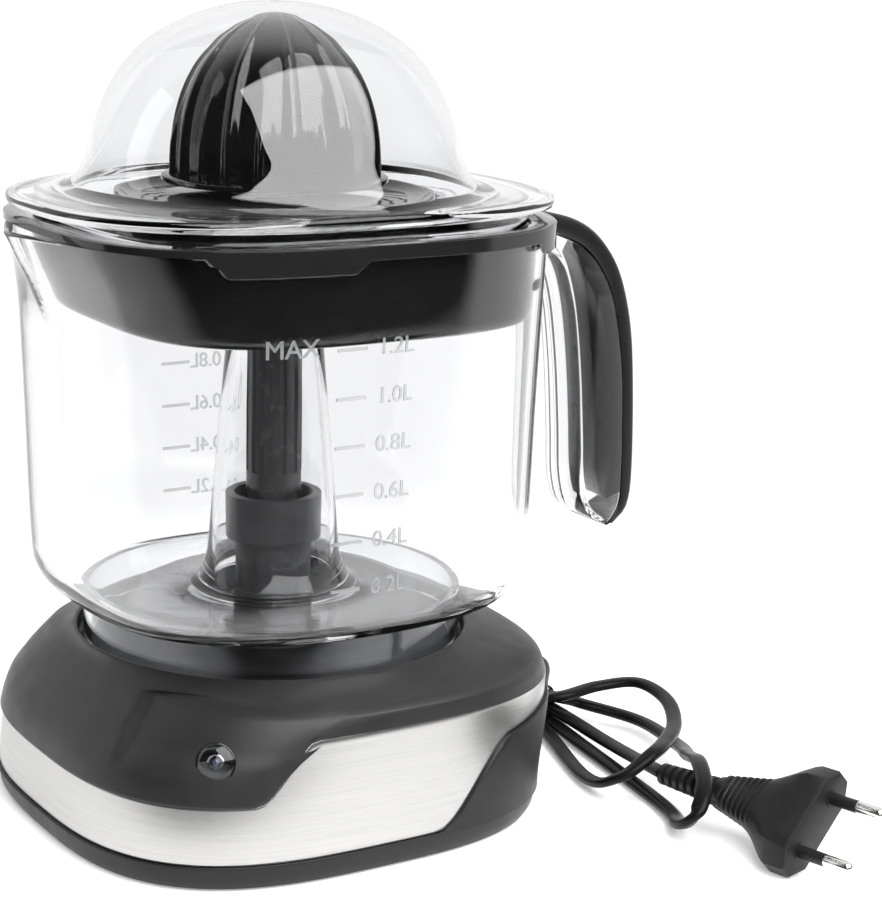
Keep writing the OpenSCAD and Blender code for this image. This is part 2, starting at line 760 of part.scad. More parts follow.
module spout(lip, drop) {
    hull() {
        translate([0, 0, jug_rim - 3]) linear_extrude(3)
            polygon([[-56, -46 + lip], [-83, -6 + lip / 2], [-86.4 + lip, 0], [-83, 6 - lip / 2],
                     [-56, 46 - lip]]);
        translate([-67 + lip, 0, jug_rim - drop]) sphere(r = 1, $fn = 12);
    }
}

module chimney_bore() {
    translate([0, 0, jug_under - 1]) cylinder(r1 = 19.6, r2 = 12.2, h = 152 - jug_under);
}

module jug() {
    color([0.9, 0.93, 0.95, 0.35]) difference() {
        loft(jug_outline);
        loft(jug_inside);
        intersection() {
            translate([0, 0, 1]) spout(2.6, 22);
            translate([-100, -50, 150]) cube([40, 100, 40]);
        }
        chimney_bore();
    }
}

module jug_spout() {
    color([0.9, 0.93, 0.95, 0.35]) difference() {
        spout(0, 24);
        translate([0, 0, 1]) spout(2.6, 22);
        loft(jug_outline);
    }
}

// Ring that stands in the base's recess
module jug_foot() {
    color([0.9, 0.93, 0.95, 0.35]) difference() {
        translate([0, 0, recess_floor + gap]) cylinder(r = foot_ring_r, h = jug_under - recess_floor - gap);
        translate([0, 0, recess_floor]) cylinder(r = foot_ring_r - foot_ring_wall, h = 20);
    }
}

// Chimney round the shaft, taller than the juice
module jug_chimney() {
    color([0.9, 0.93, 0.95, 0.35]) difference() {
        union() {
            translate([0, 0, jug_floor]) cylinder(r1 = 21.8, r2 = 20.6, h = 2.4);
            translate([0, 0, jug_floor + 2.4])
                cylinder(r1 = 20.6, r2 = 14.2, h = chimney_top - jug_floor - 2.4);
        }
        chimney_bore();
    }
}

// Handle channel, open to the outside
module jug_handle() {
    wall = 2.2;
    color([0.9, 0.93, 0.95, 0.35]) difference() {
        side_profile(concat(catmull(handle_inside, 4), reversed(catmull(handle_rim, 4))), handle_w);
        translate([wall, 0, 0])
            side_profile(concat(catmull(handle_inside, 4),
                                reversed(catmull([for (p = handle_rim) p + [6, 1.5]], 4))),
                         handle_w - 2 * wall);
        loft(jug_outline);
    }
}

// Black grip: a strip over the channel's rim with a core inside the channel
module handle_grip() {
    core = handle_w - 5;
    color("#161617") union() {
        side_profile(concat(catmull([for (p = handle_rim) if (p[0] > 80) p + [0.3, 0.3]], 4),
                            reversed(catmull(grip_outside, 4))), handle_w);
        intersection() {
            side_profile(concat(catmull([for (p = handle_inside) p + [9, 0]], 4),
                                reversed(catmull([for (p = handle_rim) p + [1, 1]], 4))), core);
            translate([88, -20, 78]) cube([60, 40, 120]);
        }
    }
}

// ---- basket, strainer and reamers
basket_outline = [
    [basket_under, 62, 59.4, 3.2, 6],
    [basket_under + 1.2, 64.2, 61.4, 3.3, 6.1],
    [basket_under + 4, 65.2, 62.2, 3.3, 6],
    [flange_z + 0.1, 71, 63.7, 3.2, 2]
];

module basket() {
    wall = 1.8;
    ledge = 1.7;
    color("#141415") difference() {
        union() {
            loft(basket_outline);
            // Flange on the jug's rim, with a lip that hangs outside it
            intersection() {
                difference() {
                    loft([[172, 78, 68.5, 3, 2], [flange_top, 78, 68.5, 3, 2]]);
                    translate([0, 0, -0.1]) loft([[171, 75.4, 67.8, 3.1, 2], [flange_z, 75.4, 67.8, 3.1, 2]]);
                }
                union() {
                    translate([-100, -100, flange_z]) cube([200, 200, 5]);
                    translate([-50, -100, 178]) cube([200, 200, 5]);
                    translate([-50, -100, 175.5]) cube([44, 200, 5]);
                    translate([56, -100, 175.5]) cube([50, 200, 5]);
                }
            }
        }
        difference() {
            loft([[basket_floor, 60.2, 57.6, 3.2, 6], [basket_floor + 2.4, 63.4, 60.4, 3.3, 6],
                  [176, 68.6 - ledge, 61.8 - ledge, 3.2, 3], [180.6, 69, 62 - ledge, 3.2, 2.2],
                  [180.7, 69.3, 62, 3.2, 2], [flange_top + 1, 69.3, 62, 3.2, 2]]);
            cylinder(r = hub_r, h = 178);
        }
        translate([0, 0, basket_under - 1]) cylinder(r = 9.3, h = 40);
        // Slots that let the juice run down into the jug
        for (k = [0:17]) rotate([0, 0, 10 + 20 * k]) translate([22, -0.8, basket_under - 1])
            cube([18, 1.6, 6]);
        // Room for the handle and the spout
        translate([76, -handle_w / 2 - gap, 160]) cube([10, handle_w + 2 * gap, flange_z - 160]);
    }
}

module strainer() {
    color("#1b1b1c") difference() {
        union() {
            difference() {
                rotate_extrude() polygon([[12, 186.4], [40, 184.4], [46, 186], [strainer_r, 188.2],
                                          [strainer_r, strainer_top], [46.4, strainer_top], [40, 186.8],
                                          [12, 188.8]]);
                for (k = [0:35]) rotate([0, 0, 10 * k]) translate([33, -0.75, 180]) cube([10, 1.5, 12]);
            }
            difference() {
                translate([0, 0, basket_floor + 0.1]) cylinder(r = 46, h = 186 - basket_floor);
                translate([0, 0, basket_floor]) cylinder(r = 44.2, h = 40);
                for (k = [0:11]) rotate([0, 0, 15 + 30 * k]) translate([40, -5, basket_floor + 4])
                    cube([10, 10, 20]);
            }
            translate([0, 0, 178.2]) cylinder(r = 15, h = strainer_top - 178.2 - 0.6);
        }
        translate([0, 0, 170]) cylinder(r = 12, h = 30);
    }
}

module cone_bush() {
    color("#d9d6c8") difference() {
        union() {
            translate([0, 0, 179]) cylinder(r = 11.95, h = 10);
            translate([0, 0, strainer_top - 0.2]) cylinder(r = 13.4, h = 0.8);
        }
        translate([0, 0, 170]) cylinder(r = 9.2, h = 30);
    }
}

// Socket with a hex bore that the shaft's tip drives
module cone_socket() {
    color("#d9d6c8") rotate([0, 0, idler_dir]) difference() {
        union() {
            translate([0, 0, cone_z + 1]) cylinder(r = 10.4, h = 15);
            translate([0, 0, cone_z + 13]) cylinder(r = 14, h = 2);
        }
        translate([0, 0, cone_z]) cylinder(r = tip_hex_r + 0.4, h = 20, $fn = 6);
    }
}

// A reamer's radius at height fraction t: a pointed ovoid
function cone_r(base_r, t) = base_r * pow(1 - pow(t, 2.5), 0.58);

module ribbed_cone(base_r, z0, z1, ribs, rib_h) {
    steps = 13;
    sides = ribs * 8;
    skin([for (k = [0:steps]) let (t = min(0.985, k / steps), r = cone_r(base_r, t))
        [for (i = [0:sides - 1]) let (a = 360 * i / sides,
                rib = rib_h * pow(abs(cos(a * ribs / 2)), 3) * (1 - 0.6 * t))
            [(r - rib_h + rib) * cos(a), (r - rib_h + rib) * sin(a), z0 + (z1 - z0) * t]]]);
}

module hollow_cone(base_r, z0, z1, ribs, rib_h, wall) {
    difference() {
        ribbed_cone(base_r, z0, z1, ribs, rib_h);
        translate([0, 0, -0.05]) rotate_extrude($fn = 40) polygon(concat([[0, z0]],
            [for (k = [0:8]) let (t = 0.93 * k / 8)
                [cone_r(base_r - rib_h - wall, t), z0 + (z1 - wall - z0) * t]],
            [[0, z0 + (z1 - wall - z0) * 0.95]]));
    }
}

module small_cone() {
    color("#242425") difference() {
        union() {
            hollow_cone(26.6, cone_z + 2.5, 233, 8, 1.6, 1.6);
            translate([0, 0, cone_z + 14]) cylinder(r = 23.4, h = 2.2);
        }
        translate([0, 0, cone_z]) cylinder(r = 14.1, h = 16.3);
    }
}

module reamer() {
    color("#0f0f10") union() {
        hollow_cone(31.6, cone_z + 1.4, cone_apex, 12, 2, 1.6);
        difference() {
            translate([0, 0, cone_z]) cylinder(r = 34, h = 2.2);
            translate([0, 0, cone_z - 1]) cylinder(r = 27.6, h = 4);
        }
    }
}

// ---- dust cover
dome_profile = [[dome_foot_r, brim_top - 2.2], [dome_foot_r, brim_top], [58.6, 192.6], [57.2, 196.5],
                [56, 201],
                [52, 214], [47, 223.5], [40, 232], [30, 238.6], [18.5, 243], [8, 245.2], [0, cover_top]];

// The dome over the reamer
module dust_cover() {
    color([0.93, 0.95, 0.97, 0.35]) rotate_extrude() polygon(concat(dome_profile, [[0, cover_top - cover_wall]],
        [for (i = [len(dome_profile) - 2:-1:2]) let (p = dome_profile[i])
            [p[0] - cover_wall, p[1] - (p[1] > 236 ? cover_wall : 0.6)]],
        [[dome_foot_r - 2.4, brim_top - 0.6], [dome_foot_r - 2.4, brim_top - 2.2]]));
}

// The brim that rests on the basket's flange, and its skirt inside the basket
module cover_brim() {
    brim = [[brim_z, 80.6, 64.6, 2.6, 2.9], [brim_top - 0.8, 81, 65, 2.6, 2.9],
            [brim_top, 80.2, 64.2, 2.6, 2.9]];
    skirt = [[181, 68.4, 61.1, 3.2, 2], [brim_top - 2, 68.4, 61.1, 3.2, 2]];
    color([0.93, 0.95, 0.97, 0.35]) difference() {
        union() {
            difference() {
                loft(brim);
                translate([0, 0, -2.2]) loft(inset(brim, 1.6));
            }
            difference() {
                loft(skirt);
                translate([0, 0, -0.1]) loft(inset(skirt, 1.6));
            }
        }
        cylinder(r = dome_foot_r, h = 200);
    }
}

base_tray();
rubber_feet();
tray_screws();
steel_band();
top_casing();
recess_plate();
indicator_lens();
indicator_board();
spindle_housing();
spindle_bush();
chassis_plate();
chassis_screws();
lower_bush();
motor_stator();
motor_coil();
motor_bracket_top();
motor_bracket_bottom();
motor_screws();
rotor();
rotor_shaft();
motor_pinion();
idler_axle();
idler_gear();
output_gear();
return_spring();
drive_shaft();
shaft_clip();
microswitch();
switch_button();
switch_lever();
lever_pin();
terminal_block();
cord_clamp();
cord_relief();
cord();
cord_tie();
plug_body();
plug_pins();
jug();
jug_spout();
jug_foot();
jug_chimney();
jug_handle();
handle_grip();
basket();
strainer();
cone_bush();
cone_socket();
small_cone();
reamer();
dust_cover();
cover_brim();
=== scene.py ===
"""Looks for the electric citrus press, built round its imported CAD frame.

Shapes are worked out in millimetres, in the CAD's own frame, and turned into
metres when a mesh is made.
"""

import math

import bmesh
import bpy
from mathutils import Euler, Matrix, Quaternion, Vector


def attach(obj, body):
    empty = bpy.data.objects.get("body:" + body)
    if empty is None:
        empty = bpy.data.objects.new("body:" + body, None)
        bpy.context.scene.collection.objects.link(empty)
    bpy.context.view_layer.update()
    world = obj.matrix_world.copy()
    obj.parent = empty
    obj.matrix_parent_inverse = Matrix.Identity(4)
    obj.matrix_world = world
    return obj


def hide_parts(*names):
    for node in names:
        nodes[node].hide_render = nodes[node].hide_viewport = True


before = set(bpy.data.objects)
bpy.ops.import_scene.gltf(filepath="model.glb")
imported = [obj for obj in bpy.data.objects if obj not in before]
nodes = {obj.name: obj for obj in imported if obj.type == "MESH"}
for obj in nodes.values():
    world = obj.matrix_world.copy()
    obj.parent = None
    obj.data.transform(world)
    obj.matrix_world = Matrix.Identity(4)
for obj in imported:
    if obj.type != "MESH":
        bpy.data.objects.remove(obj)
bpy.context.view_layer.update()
scene = bpy.context.scene
MM = 0.001
RING = 192
# Turns a piece that was made along Z so that it lies along X
ALONG_X = Euler((0, math.pi / 2, 0)).to_matrix().to_4x4()


def add_object(name, data):
    obj = bpy.data.objects.new(name, data)
    scene.collection.objects.link(obj)
    return obj


# ---------------------------------------------------------------- camera

def add_camera():
    """The main view: 28 degrees round to the left of the front, a little above."""
    data = bpy.data.cameras.new("camera")
    data.sensor_width = 36
    data.lens = 95.7
    data.clip_start, data.clip_end = 0.05, 50
    camera = add_object("camera", data)
    camera.location = (-0.3367, -0.6323, 0.2821)
    aim = Vector((0.5178, 0.8232, -0.2334)).to_track_quat("-Z", "Y")
    camera.rotation_mode = "QUATERNION"
    camera.rotation_quaternion = aim @ Quaternion((0, 0, 1), 0.025)
    scene.camera = camera
    return camera


camera = add_camera()


# ---------------------------------------------------------------- shape helpers

def ease(t):
    """Smooth step from 0 to 1."""
    t = max(0.0, min(1.0, t))
    return t * t * (3 - 2 * t)


def spread(start, end, count):
    """count numbers from start to end."""
    return [start + (end - start) * i / (count - 1) for i in range(count)]


def hermite(keys, x):
    """Smooth curve through keys [(x, value, ...)], without overshoot between them."""
    if x <= keys[0][0]:
        return keys[0][1:]
    if x >= keys[-1][0]:
        return keys[-1][1:]
    i = max(k for k in range(len(keys) - 1) if keys[k][0] <= x)
    x0, x1 = keys[i][0], keys[i + 1][0]
    t = (x - x0) / (x1 - x0)

    def slope(k, j):
        if k in (0, len(keys) - 1):
            return 0 if len(keys) == 2 else None
        left = (keys[k][j] - keys[k - 1][j]) / (keys[k][0] - keys[k - 1][0])
        right = (keys[k + 1][j] - keys[k][j]) / (keys[k + 1][0] - keys[k][0])
        return 0 if left * right <= 0 else 2 * left * right / (left + right)

    out = []
    for j in range(1, len(keys[0])):
        y0, y1 = keys[i][j], keys[i + 1][j]
        chord = (y1 - y0) / (x1 - x0)
        m0, m1 = slope(i, j), slope(i + 1, j)
        m0 = chord if m0 is None else m0
        m1 = chord if m1 is None else m1
        out.append(y0 * (1 + 2 * t) * (1 - t) ** 2 + y1 * t * t * (3 - 2 * t)
                   + (x1 - x0) * (m0 * t * (1 - t) ** 2 - m1 * t * t * (1 - t)))
    return tuple(out)


def rounded_square(a, b, n, cx, turn):
    """Point of the outline |x/a|^n + |y/b|^n = 1 at angle turn, shifted by cx."""
    c, s = math.cos(turn), math.sin(turn)
    power = 2 / n
    return (cx + a * math.copysign(abs(c) ** power, c), b * math.copysign(abs(s) ** power, s))


def turns(count=RING):
    return [2 * math.pi * i / count for i in range(count)]


def outline(z, a, b, n, cx):
    """A rounded-square ring at height z."""
    return [(*rounded_square(a, b, n, cx, t), z) for t in turns()]


def outline_at(keys, z, grow=0.0):
    """The ring of a lofted body at height z, from keys (z, a, b, n, cx)."""
    a, b, n, cx = hermite(keys, z)
    return outline(z, a + grow, b + grow, n, cx)


def circle(z, r, count=RING):
    return [(r * math.cos(t), r * math.sin(t), z) for t in turns(count)]


def mix_rings(one, other, share):
    return [tuple(p + (q - p) * share for p, q in zip(a, b)) for a, b in zip(one, other)]


def make_mesh(name, points, faces, smooth=True):
    """A mesh object from points in millimetres."""
    mesh = bpy.data.meshes.new(name)
    mesh.from_pydata([[c * MM for c in p] for p in points], [], faces)
    work = bmesh.new()
    work.from_mesh(mesh)
    bmesh.ops.remove_doubles(work, verts=work.verts, dist=1e-6)
    bmesh.ops.recalc_face_normals(work, faces=work.faces)
    work.to_mesh(mesh)
    work.free()
    if smooth:
        for polygon in mesh.polygons:
            polygon.use_smooth = True
    return add_object(name, mesh)


def sharpen(obj, angle=40):
    """Edges sharper than angle stay crisp under smooth shading."""
    obj.data.set_sharp_from_angle(angle=math.radians(angle))
    return obj


def skin(name, rings, caps=(True, True), angle=40, loop=False):
    """A surface through a stack of equal rings; loop joins the last ring to the first."""
    n = len(rings[0])
    points = [p for ring in rings for p in ring]
    count = len(rings)
    faces = []
    for k in range(count if loop else count - 1):
        low, high = k * n, (k + 1) % count * n
        faces += [(low + i, low + (i + 1) % n, high + (i + 1) % n, high + i) for i in range(n)]
    if not loop and caps[0]:
        faces.append(tuple(range(n)))
    if not loop and caps[1]:
        faces.append(tuple((count - 1) * n + i for i in range(n)))
    return sharpen(make_mesh(name, points, faces), angle)


def revolve(name, profile, count=128, angle=35, closed=False):
    """A turned piece from a profile of (radius, height)."""
    return skin(name, [circle(z, max(r, 0.001), count) for r, z in profile],
                caps=(profile[0][0] > 0, profile[-1][0] > 0), angle=angle, loop=closed)


def join(name, pieces):
    """One object from several meshes."""
    work = bmesh.new()
    for piece in pieces:
        piece.data.transform(piece.matrix_world)
        work.from_mesh(piece.data)
        bpy.data.objects.remove(piece)
    mesh = bpy.data.meshes.new(name)
    work.to_mesh(mesh)
    work.free()
    return add_object(name, mesh)


def place(obj, matrix):
    obj.data.transform(matrix)
    return obj


def block(name, low, high):
    """A box from its lowest to its highest corner."""
    points = [(x, y, z) for x in (low[0], high[0]) for y in (low[1], high[1]) for z in (low[2], high[2])]
    faces = [(0, 1, 3, 2), (4, 6, 7, 5), (0, 4, 5, 1), (2, 3, 7, 6), (0, 2, 6, 4), (1, 5, 7, 3)]
    return make_mesh(name, points, faces, smooth=False)


def catmull(points, steps):
    """A smooth curve through given points."""
    out = []
    for i in range(len(points) - 1):
        b, c = points[i], points[i + 1]
        a = points[i - 1] if i else tuple(2 * q - r for q, r in zip(b, c))
        d = points[i + 2] if i + 2 < len(points) else tuple(2 * r - q for q, r in zip(b, c))
        for k in range(steps):
            t = k / steps
            out.append(tuple(0.5 * (2 * q + (r - p) * t + (2 * p - 5 * q + 4 * r - s) * t * t
                                    + (3 * q - p - 3 * r + s) * t ** 3)
                             for p, q, r, s in zip(a, b, c, d)))
    return out + [tuple(points[-1])]


# ---------------------------------------------------------------- materials

# Level direction from the camera to the press
VIEW_AXIS = (0.532, 0.847, 0.0)
# The part of a noise texture's range that holds most of its values
NOISE_SPAN = (0.3, 0.7)


def map_range(tree, value, old, new, smooth=False):
    """Value mapped from the span old to the span new, clamped at both ends."""
    node = tree.nodes.new("ShaderNodeMapRange")
    if smooth:
        node.interpolation_type = "SMOOTHSTEP"
    for key, number in zip(("From Min", "From Max", "To Min", "To Max"), (*old, *new)):
        node.inputs[key].default_value = number
    tree.links.new(value, node.inputs["Value"])
    return node.outputs["Result"]


def along_view(tree, position):
    """How far a position lies along the view, from the camera's side to the far side."""
    node = tree.nodes.new("ShaderNodeVectorMath")
    node.operation = "DOT_PRODUCT"
    node.inputs[1].default_value = VIEW_AXIS
    tree.links.new(position, node.inputs[0])
    return node.outputs["Value"]


class Shader:
    """A principled material, with helpers for procedural detail."""

    def __init__(self, name, color, roughness, **values):
        self.material = bpy.data.materials.new(name)
        self.material.use_nodes = True
        self.tree = self.material.node_tree
        self.bsdf = self.tree.nodes["Principled BSDF"]
        self.bsdf.inputs["Base Color"].default_value = (*color, 1)
        self.bsdf.inputs["Roughness"].default_value = roughness
        for key, value in values.items():
            self.bsdf.inputs[key.replace("_", " ").title().replace("Ior", "IOR")].default_value = value
        self.height = None

    def node(self, kind, **values):
        node = self.tree.nodes.new(kind)
        for key, value in values.items():
            node.inputs[key.replace("_", " ").title()].default_value = value
        return node

    def link(self, output, target):
        self.tree.links.new(output, target)

    def noise(self, scale, detail=4.0, stretch=(1, 1, 1), roughness=0.5):
        """Noise in the object's own coordinates, in features per metre."""
        where = self.node("ShaderNodeTexCoord")
        mapping = self.node("ShaderNodeMapping")
        mapping.inputs["Scale"].default_value = stretch
        noise = self.node("ShaderNodeTexNoise", scale=scale, detail=detail, roughness=roughness)
        self.link(where.outputs["Object"], mapping.inputs["Vector"])
        self.link(mapping.outputs["Vector"], noise.inputs["Vector"])
        return noise.outputs["Fac"]

    def roughen(self, value, low, high):
        result = map_range(self.tree, value, NOISE_SPAN, (low, high))
        self.link(result, self.bsdf.inputs["Roughness"])
        return self

    def tint(self, value, low, high):
        """Base colour that varies from low to high with value."""
        node = self.node("ShaderNodeValToRGB")
        for element, position, color in zip(node.color_ramp.elements, NOISE_SPAN, (low, high)):
            element.position = position
            element.color = (*color, 1)
        self.link(value, node.inputs["Fac"])
        self.link(node.outputs["Color"], self.bsdf.inputs["Base Color"])
        return self

    def bump(self, value, depth, strength=1.0):
        """Relief of the given depth in millimetres."""
        node = self.node("ShaderNodeBump", strength=strength, distance=depth * MM)
        self.link(value, node.inputs["Height"])
        if self.height is not None:
            self.link(self.height, node.inputs["Normal"])
        self.height = node.outputs["Normal"]
        self.link(self.height, self.bsdf.inputs["Normal"])
        return self


def grey(level):
    return (level, level, level * 1.03)


def matte_black(name, level, roughness, grain=2600, depth=0.03, shine=0.3):
    """Moulded black plastic with fine grain and slight handling marks."""
    shader = Shader(name, grey(level), roughness)
    shader.bsdf.inputs["Specular IOR Level"].default_value = shine
    shader.tint(shader.noise(60, 3), grey(level * 0.92), grey(level * 1.1))
    shader.roughen(shader.noise(140, 5), roughness - 0.04, roughness + 0.05)
    shader.bump(shader.noise(grain, 2), depth)
    return shader.material


def gloss_black(name, level, roughness):
    """Injection-moulded gloss plastic: slight waviness, faint haze."""
    shader = Shader(name, grey(level), roughness)
    shader.tint(shader.noise(30, 2), grey(level), grey(level * 1.3))
    shader.roughen(shader.noise(220, 5), roughness * 0.7, roughness * 1.5)
    shader.bump(shader.noise(45, 1), 0.05)
    return shader.material


def clear_plastic(name, tint, roughness=0.012):
    """Clear styrene-like plastic with faint moulding ripples."""
    shader = Shader(name, tint, roughness, transmission_weight=1.0, ior=1.46)
    shader.roughen(shader.noise(160, 4), roughness * 0.5, roughness * 2)
    shader.bump(shader.noise(28, 1), 0.06)
    return shader.material


def brushed_steel(name):
    """Satin stainless sheet, brushed along its length."""
    shader = Shader(name, (0.66, 0.655, 0.645), 0.3, metallic=1.0, anisotropic=0.4)
    grain = shader.noise(2600, 3, stretch=(0.02, 0.02, 1.6))
    shader.roughen(grain, 0.27, 0.31)
    shader.tint(shader.noise(1400, 2, stretch=(0.02, 0.02, 1)), (0.44, 0.437, 0.43), (0.48, 0.476, 0.468))
    shader.bump(grain, 0.002)
    return shader.material


def metal(name, color, roughness, grain=500):
    shader = Shader(name, color, roughness, metallic=1.0)
    shader.roughen(shader.noise(grain, 4), roughness * 0.8, roughness * 1.3)
    shader.bump(shader.noise(grain * 2, 2), 0.01)
    return shader.material


def pale_plastic(name, color, roughness=0.4):
    shader = Shader(name, color, roughness)
    shader.tint(shader.noise(80, 3), tuple(c * 0.95 for c in color), tuple(min(1, c * 1.04) for c in color))
    shader.roughen(shader.noise(200, 4), roughness - 0.05, roughness + 0.06)
    shader.bump(shader.noise(900, 2), 0.02)
    return shader.material


def laminations(name):
    """Stacked iron sheets: fine level lines."""
    shader = Shader(name, (0.3, 0.3, 0.31), 0.4, metallic=1.0)
    lines = shader.noise(1500, 2, stretch=(0.02, 0.02, 1))
    shader.roughen(lines, 0.3, 0.55)
    shader.bump(lines, 0.1)
    return shader.material


def winding(name):
    """Enamelled copper wire, wound round."""
    shader = Shader(name, (0.42, 0.15, 0.05), 0.3, metallic=1.0)
    lines = shader.noise(1800, 1, stretch=(1, 0.05, 1))
    shader.tint(lines, (0.35, 0.11, 0.03), (0.55, 0.22, 0.08))
    shader.bump(lines, 0.2)
    return shader.material


casing_black = matte_black("casing_black", 0.017, 0.4, grain=2200, depth=0.02)
tray_black = matte_black("tray_black", 0.008, 0.43)
grip_black = matte_black("grip_black", 0.01, 0.3, grain=1500, depth=0.015)
cord_black = matte_black("cord_black", 0.004, 0.34, grain=900, depth=0.03, shine=0.12)
plug_black = matte_black("plug_black", 0.009, 0.42, grain=1800, depth=0.04)
rubber_black = matte_black("foot_rubber", 0.02, 0.7, grain=1200, depth=0.06)
spindle_grey = matte_black("spindle_grey", 0.12, 0.35, grain=1500, depth=0.02)
shaft_grey = gloss_black("shaft_dark", 0.09, 0.2)
basket_black = gloss_black("basket_black", 0.012, 0.06)
reamer_black = gloss_black("reamer_black", 0.0025, 0.05)
jug_clear = clear_plastic("jug_clear", (0.972, 0.973, 0.98))
# The foot ring's clear plastic is tinted darker than the jug's: painted shade for the dark recess that shows
# through it
foot_clear_painted_shade = clear_plastic("foot_clear_painted_shade", (0.75, 0.76, 0.79), 0.02)
cover_clear = clear_plastic("cover_clear", (0.945, 0.947, 0.955), 0.008)
lens_clear = clear_plastic("lens_clear", (0.9, 0.93, 0.97), 0.01)
well_black = gloss_black("well_black", 0.004, 0.12)
lamp_blue = pale_plastic("lamp_blue", (0.08, 0.09, 0.14), 0.2)
mark_frost = Shader("mark_frost", (0.86, 0.87, 0.88), 0.35, transmission_weight=0.88, ior=1.46)
mark_frost.bump(mark_frost.noise(900, 2), 0.02)
steel = brushed_steel("band_steel")
nickel = metal("pin_nickel", (0.76, 0.75, 0.73), 0.16)

NODE_MATERIALS = {
    "rubber_feet": rubber_black,
    "spindle_housing": spindle_grey,
    "drive_shaft": shaft_grey,
    "motor_stator": laminations("motor_iron"),
    "rotor": laminations("rotor_iron"),
    "motor_coil": winding("winding_copper"),
    "indicator_board": pale_plastic("board_green", (0.03, 0.16, 0.06), 0.35),
    "switch_button": pale_plastic("button_red", (0.35, 0.03, 0.02), 0.3),
}
SHARED_MATERIALS = [
    (metal("screw_steel", (0.62, 0.62, 0.63), 0.3),
     ["tray_screws", "chassis_screws", "motor_screws", "rotor_shaft", "idler_axle", "lever_pin"]),
    (metal("plate_steel", (0.52, 0.53, 0.55), 0.38, 200),
     ["chassis_plate", "motor_bracket_top", "motor_bracket_bottom"]),
    (metal("bush_bronze", (0.5, 0.36, 0.18), 0.45, 1200), ["spindle_bush", "lower_bush"]),
    (metal("spring_steel", (0.45, 0.45, 0.47), 0.25), ["return_spring", "shaft_clip"]),
    (pale_plastic("gear_plastic", (0.78, 0.75, 0.66)), ["motor_pinion", "idler_gear", "output_gear"]),
    (pale_plastic("lever_plastic", (0.74, 0.73, 0.68)),
     ["switch_lever", "terminal_block", "cone_socket", "cone_bush"]),
    (matte_black("switch_body", 0.03, 0.45), ["microswitch", "cord_clamp"]),
    (gloss_black("cone_dark", 0.02, 0.15), ["small_cone"]),
]


def paint(obj, material):
    obj.data.materials.clear()
    obj.data.materials.append(material)
    return obj


def finish_piece(obj, body, material, slot, *replaced):
    """Paints a piece, makes it ride on its CAD body and stand for CAD nodes."""
    paint(obj, material)
    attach(obj, body)
    if replaced:
        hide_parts(*replaced)
    return obj


def paint_nodes():
    for name, material in NODE_MATERIALS.items():
        paint(nodes[name], material)
    for material, names in SHARED_MATERIALS:
        for name in names:
            paint(nodes[name], material)


paint_nodes()


# ---------------------------------------------------------------- mains cord and plug

CORD_WIDTH, CORD_DEPTH = 5.2, 3.4
EXIT_DIR, EXIT_R, EXIT_Z, RELIEF_LEN = math.radians(51), 83, 13, 30

# The route of part.scad's cord: a lead round to a tied hank of loops beside
# the base, and a short run on to the plug
CORD_ROUTE = [
    (71.1, 87.8, 13), (80, 98.9, 12.4), (91, 105.5, 11), (101, 97, 9.4), (104.7, 50, 6.3),
    (104.7, 9, 9.8), (109.5, -3, 12.4), (125, -3, 13.5), (136, -11, 15.4), (136, -27, 14.4),
    (125, -46, 13.8), (110, -61, 15.2), (98, -69.5, 15.6), (87.5, -67, 9), (88, -48, 3),
    (104.7, 9, 2.8), (100, 46, 1.9), (88, 76, 1.9), (89, 97, 1.9), (105, 101, 1.9), (113, 66, 3.4),
    (110.3, 9, 9.8), (120, -1, 7.4), (131, -20, 5.2), (124, -50, 7.8), (112.5, -70, 13),
    (103, -87, 18.3), (93.5, -102, 17), (87, -107, 11.5), (87, -99, 5.4), (97, -76, 2.3),
    (110.3, 9, 2.8), (127, 34, 1.9), (142, 57, 1.9), (137, 75, 1.9), (123, 70, 1.9), (114, 42, 2.4),
    (110.3, 9, 6.3), (108.5, -33, 5.6), (98.6, -75.3, 11.3),
]


def flat_tube(name, path, width, depth):
    """A flat oval tube along a path, its broad side level."""
    sides = 20
    rings = []
    for i, here in enumerate(path):
        ahead = Vector(path[min(i + 1, len(path) - 1)]) - Vector(path[max(i - 1, 0)])
        ahead.normalize()
        side = ahead.cross(Vector((0, 0, 1))).normalized()
        up = side.cross(ahead)
        ring = []
        for turn in turns(sides):
            c, s = math.cos(turn), math.sin(turn)
            # Two round cores side by side: a flat oval with a shallow groove
            thick = depth / 2 * (0.9 + 0.1 * min(1.0, abs(c) / 0.45))
            oval = math.copysign(abs(s) ** 0.8, s)
            ring.append(tuple(Vector(here) + side * (width / 2 * c) + up * (thick * oval)))
        rings.append(ring)
    return skin(name, rings, angle=60)


def add_cord():
    path = catmull(CORD_ROUTE, 14)
    piece = flat_tube("cord_lead", path, CORD_WIDTH, CORD_DEPTH)
    finish_piece(piece, "base", cord_black, "cord_black", "cord")
    return piece, path


cord_piece, cord_path = add_cord()


# ---------------------------------------------------------------- base

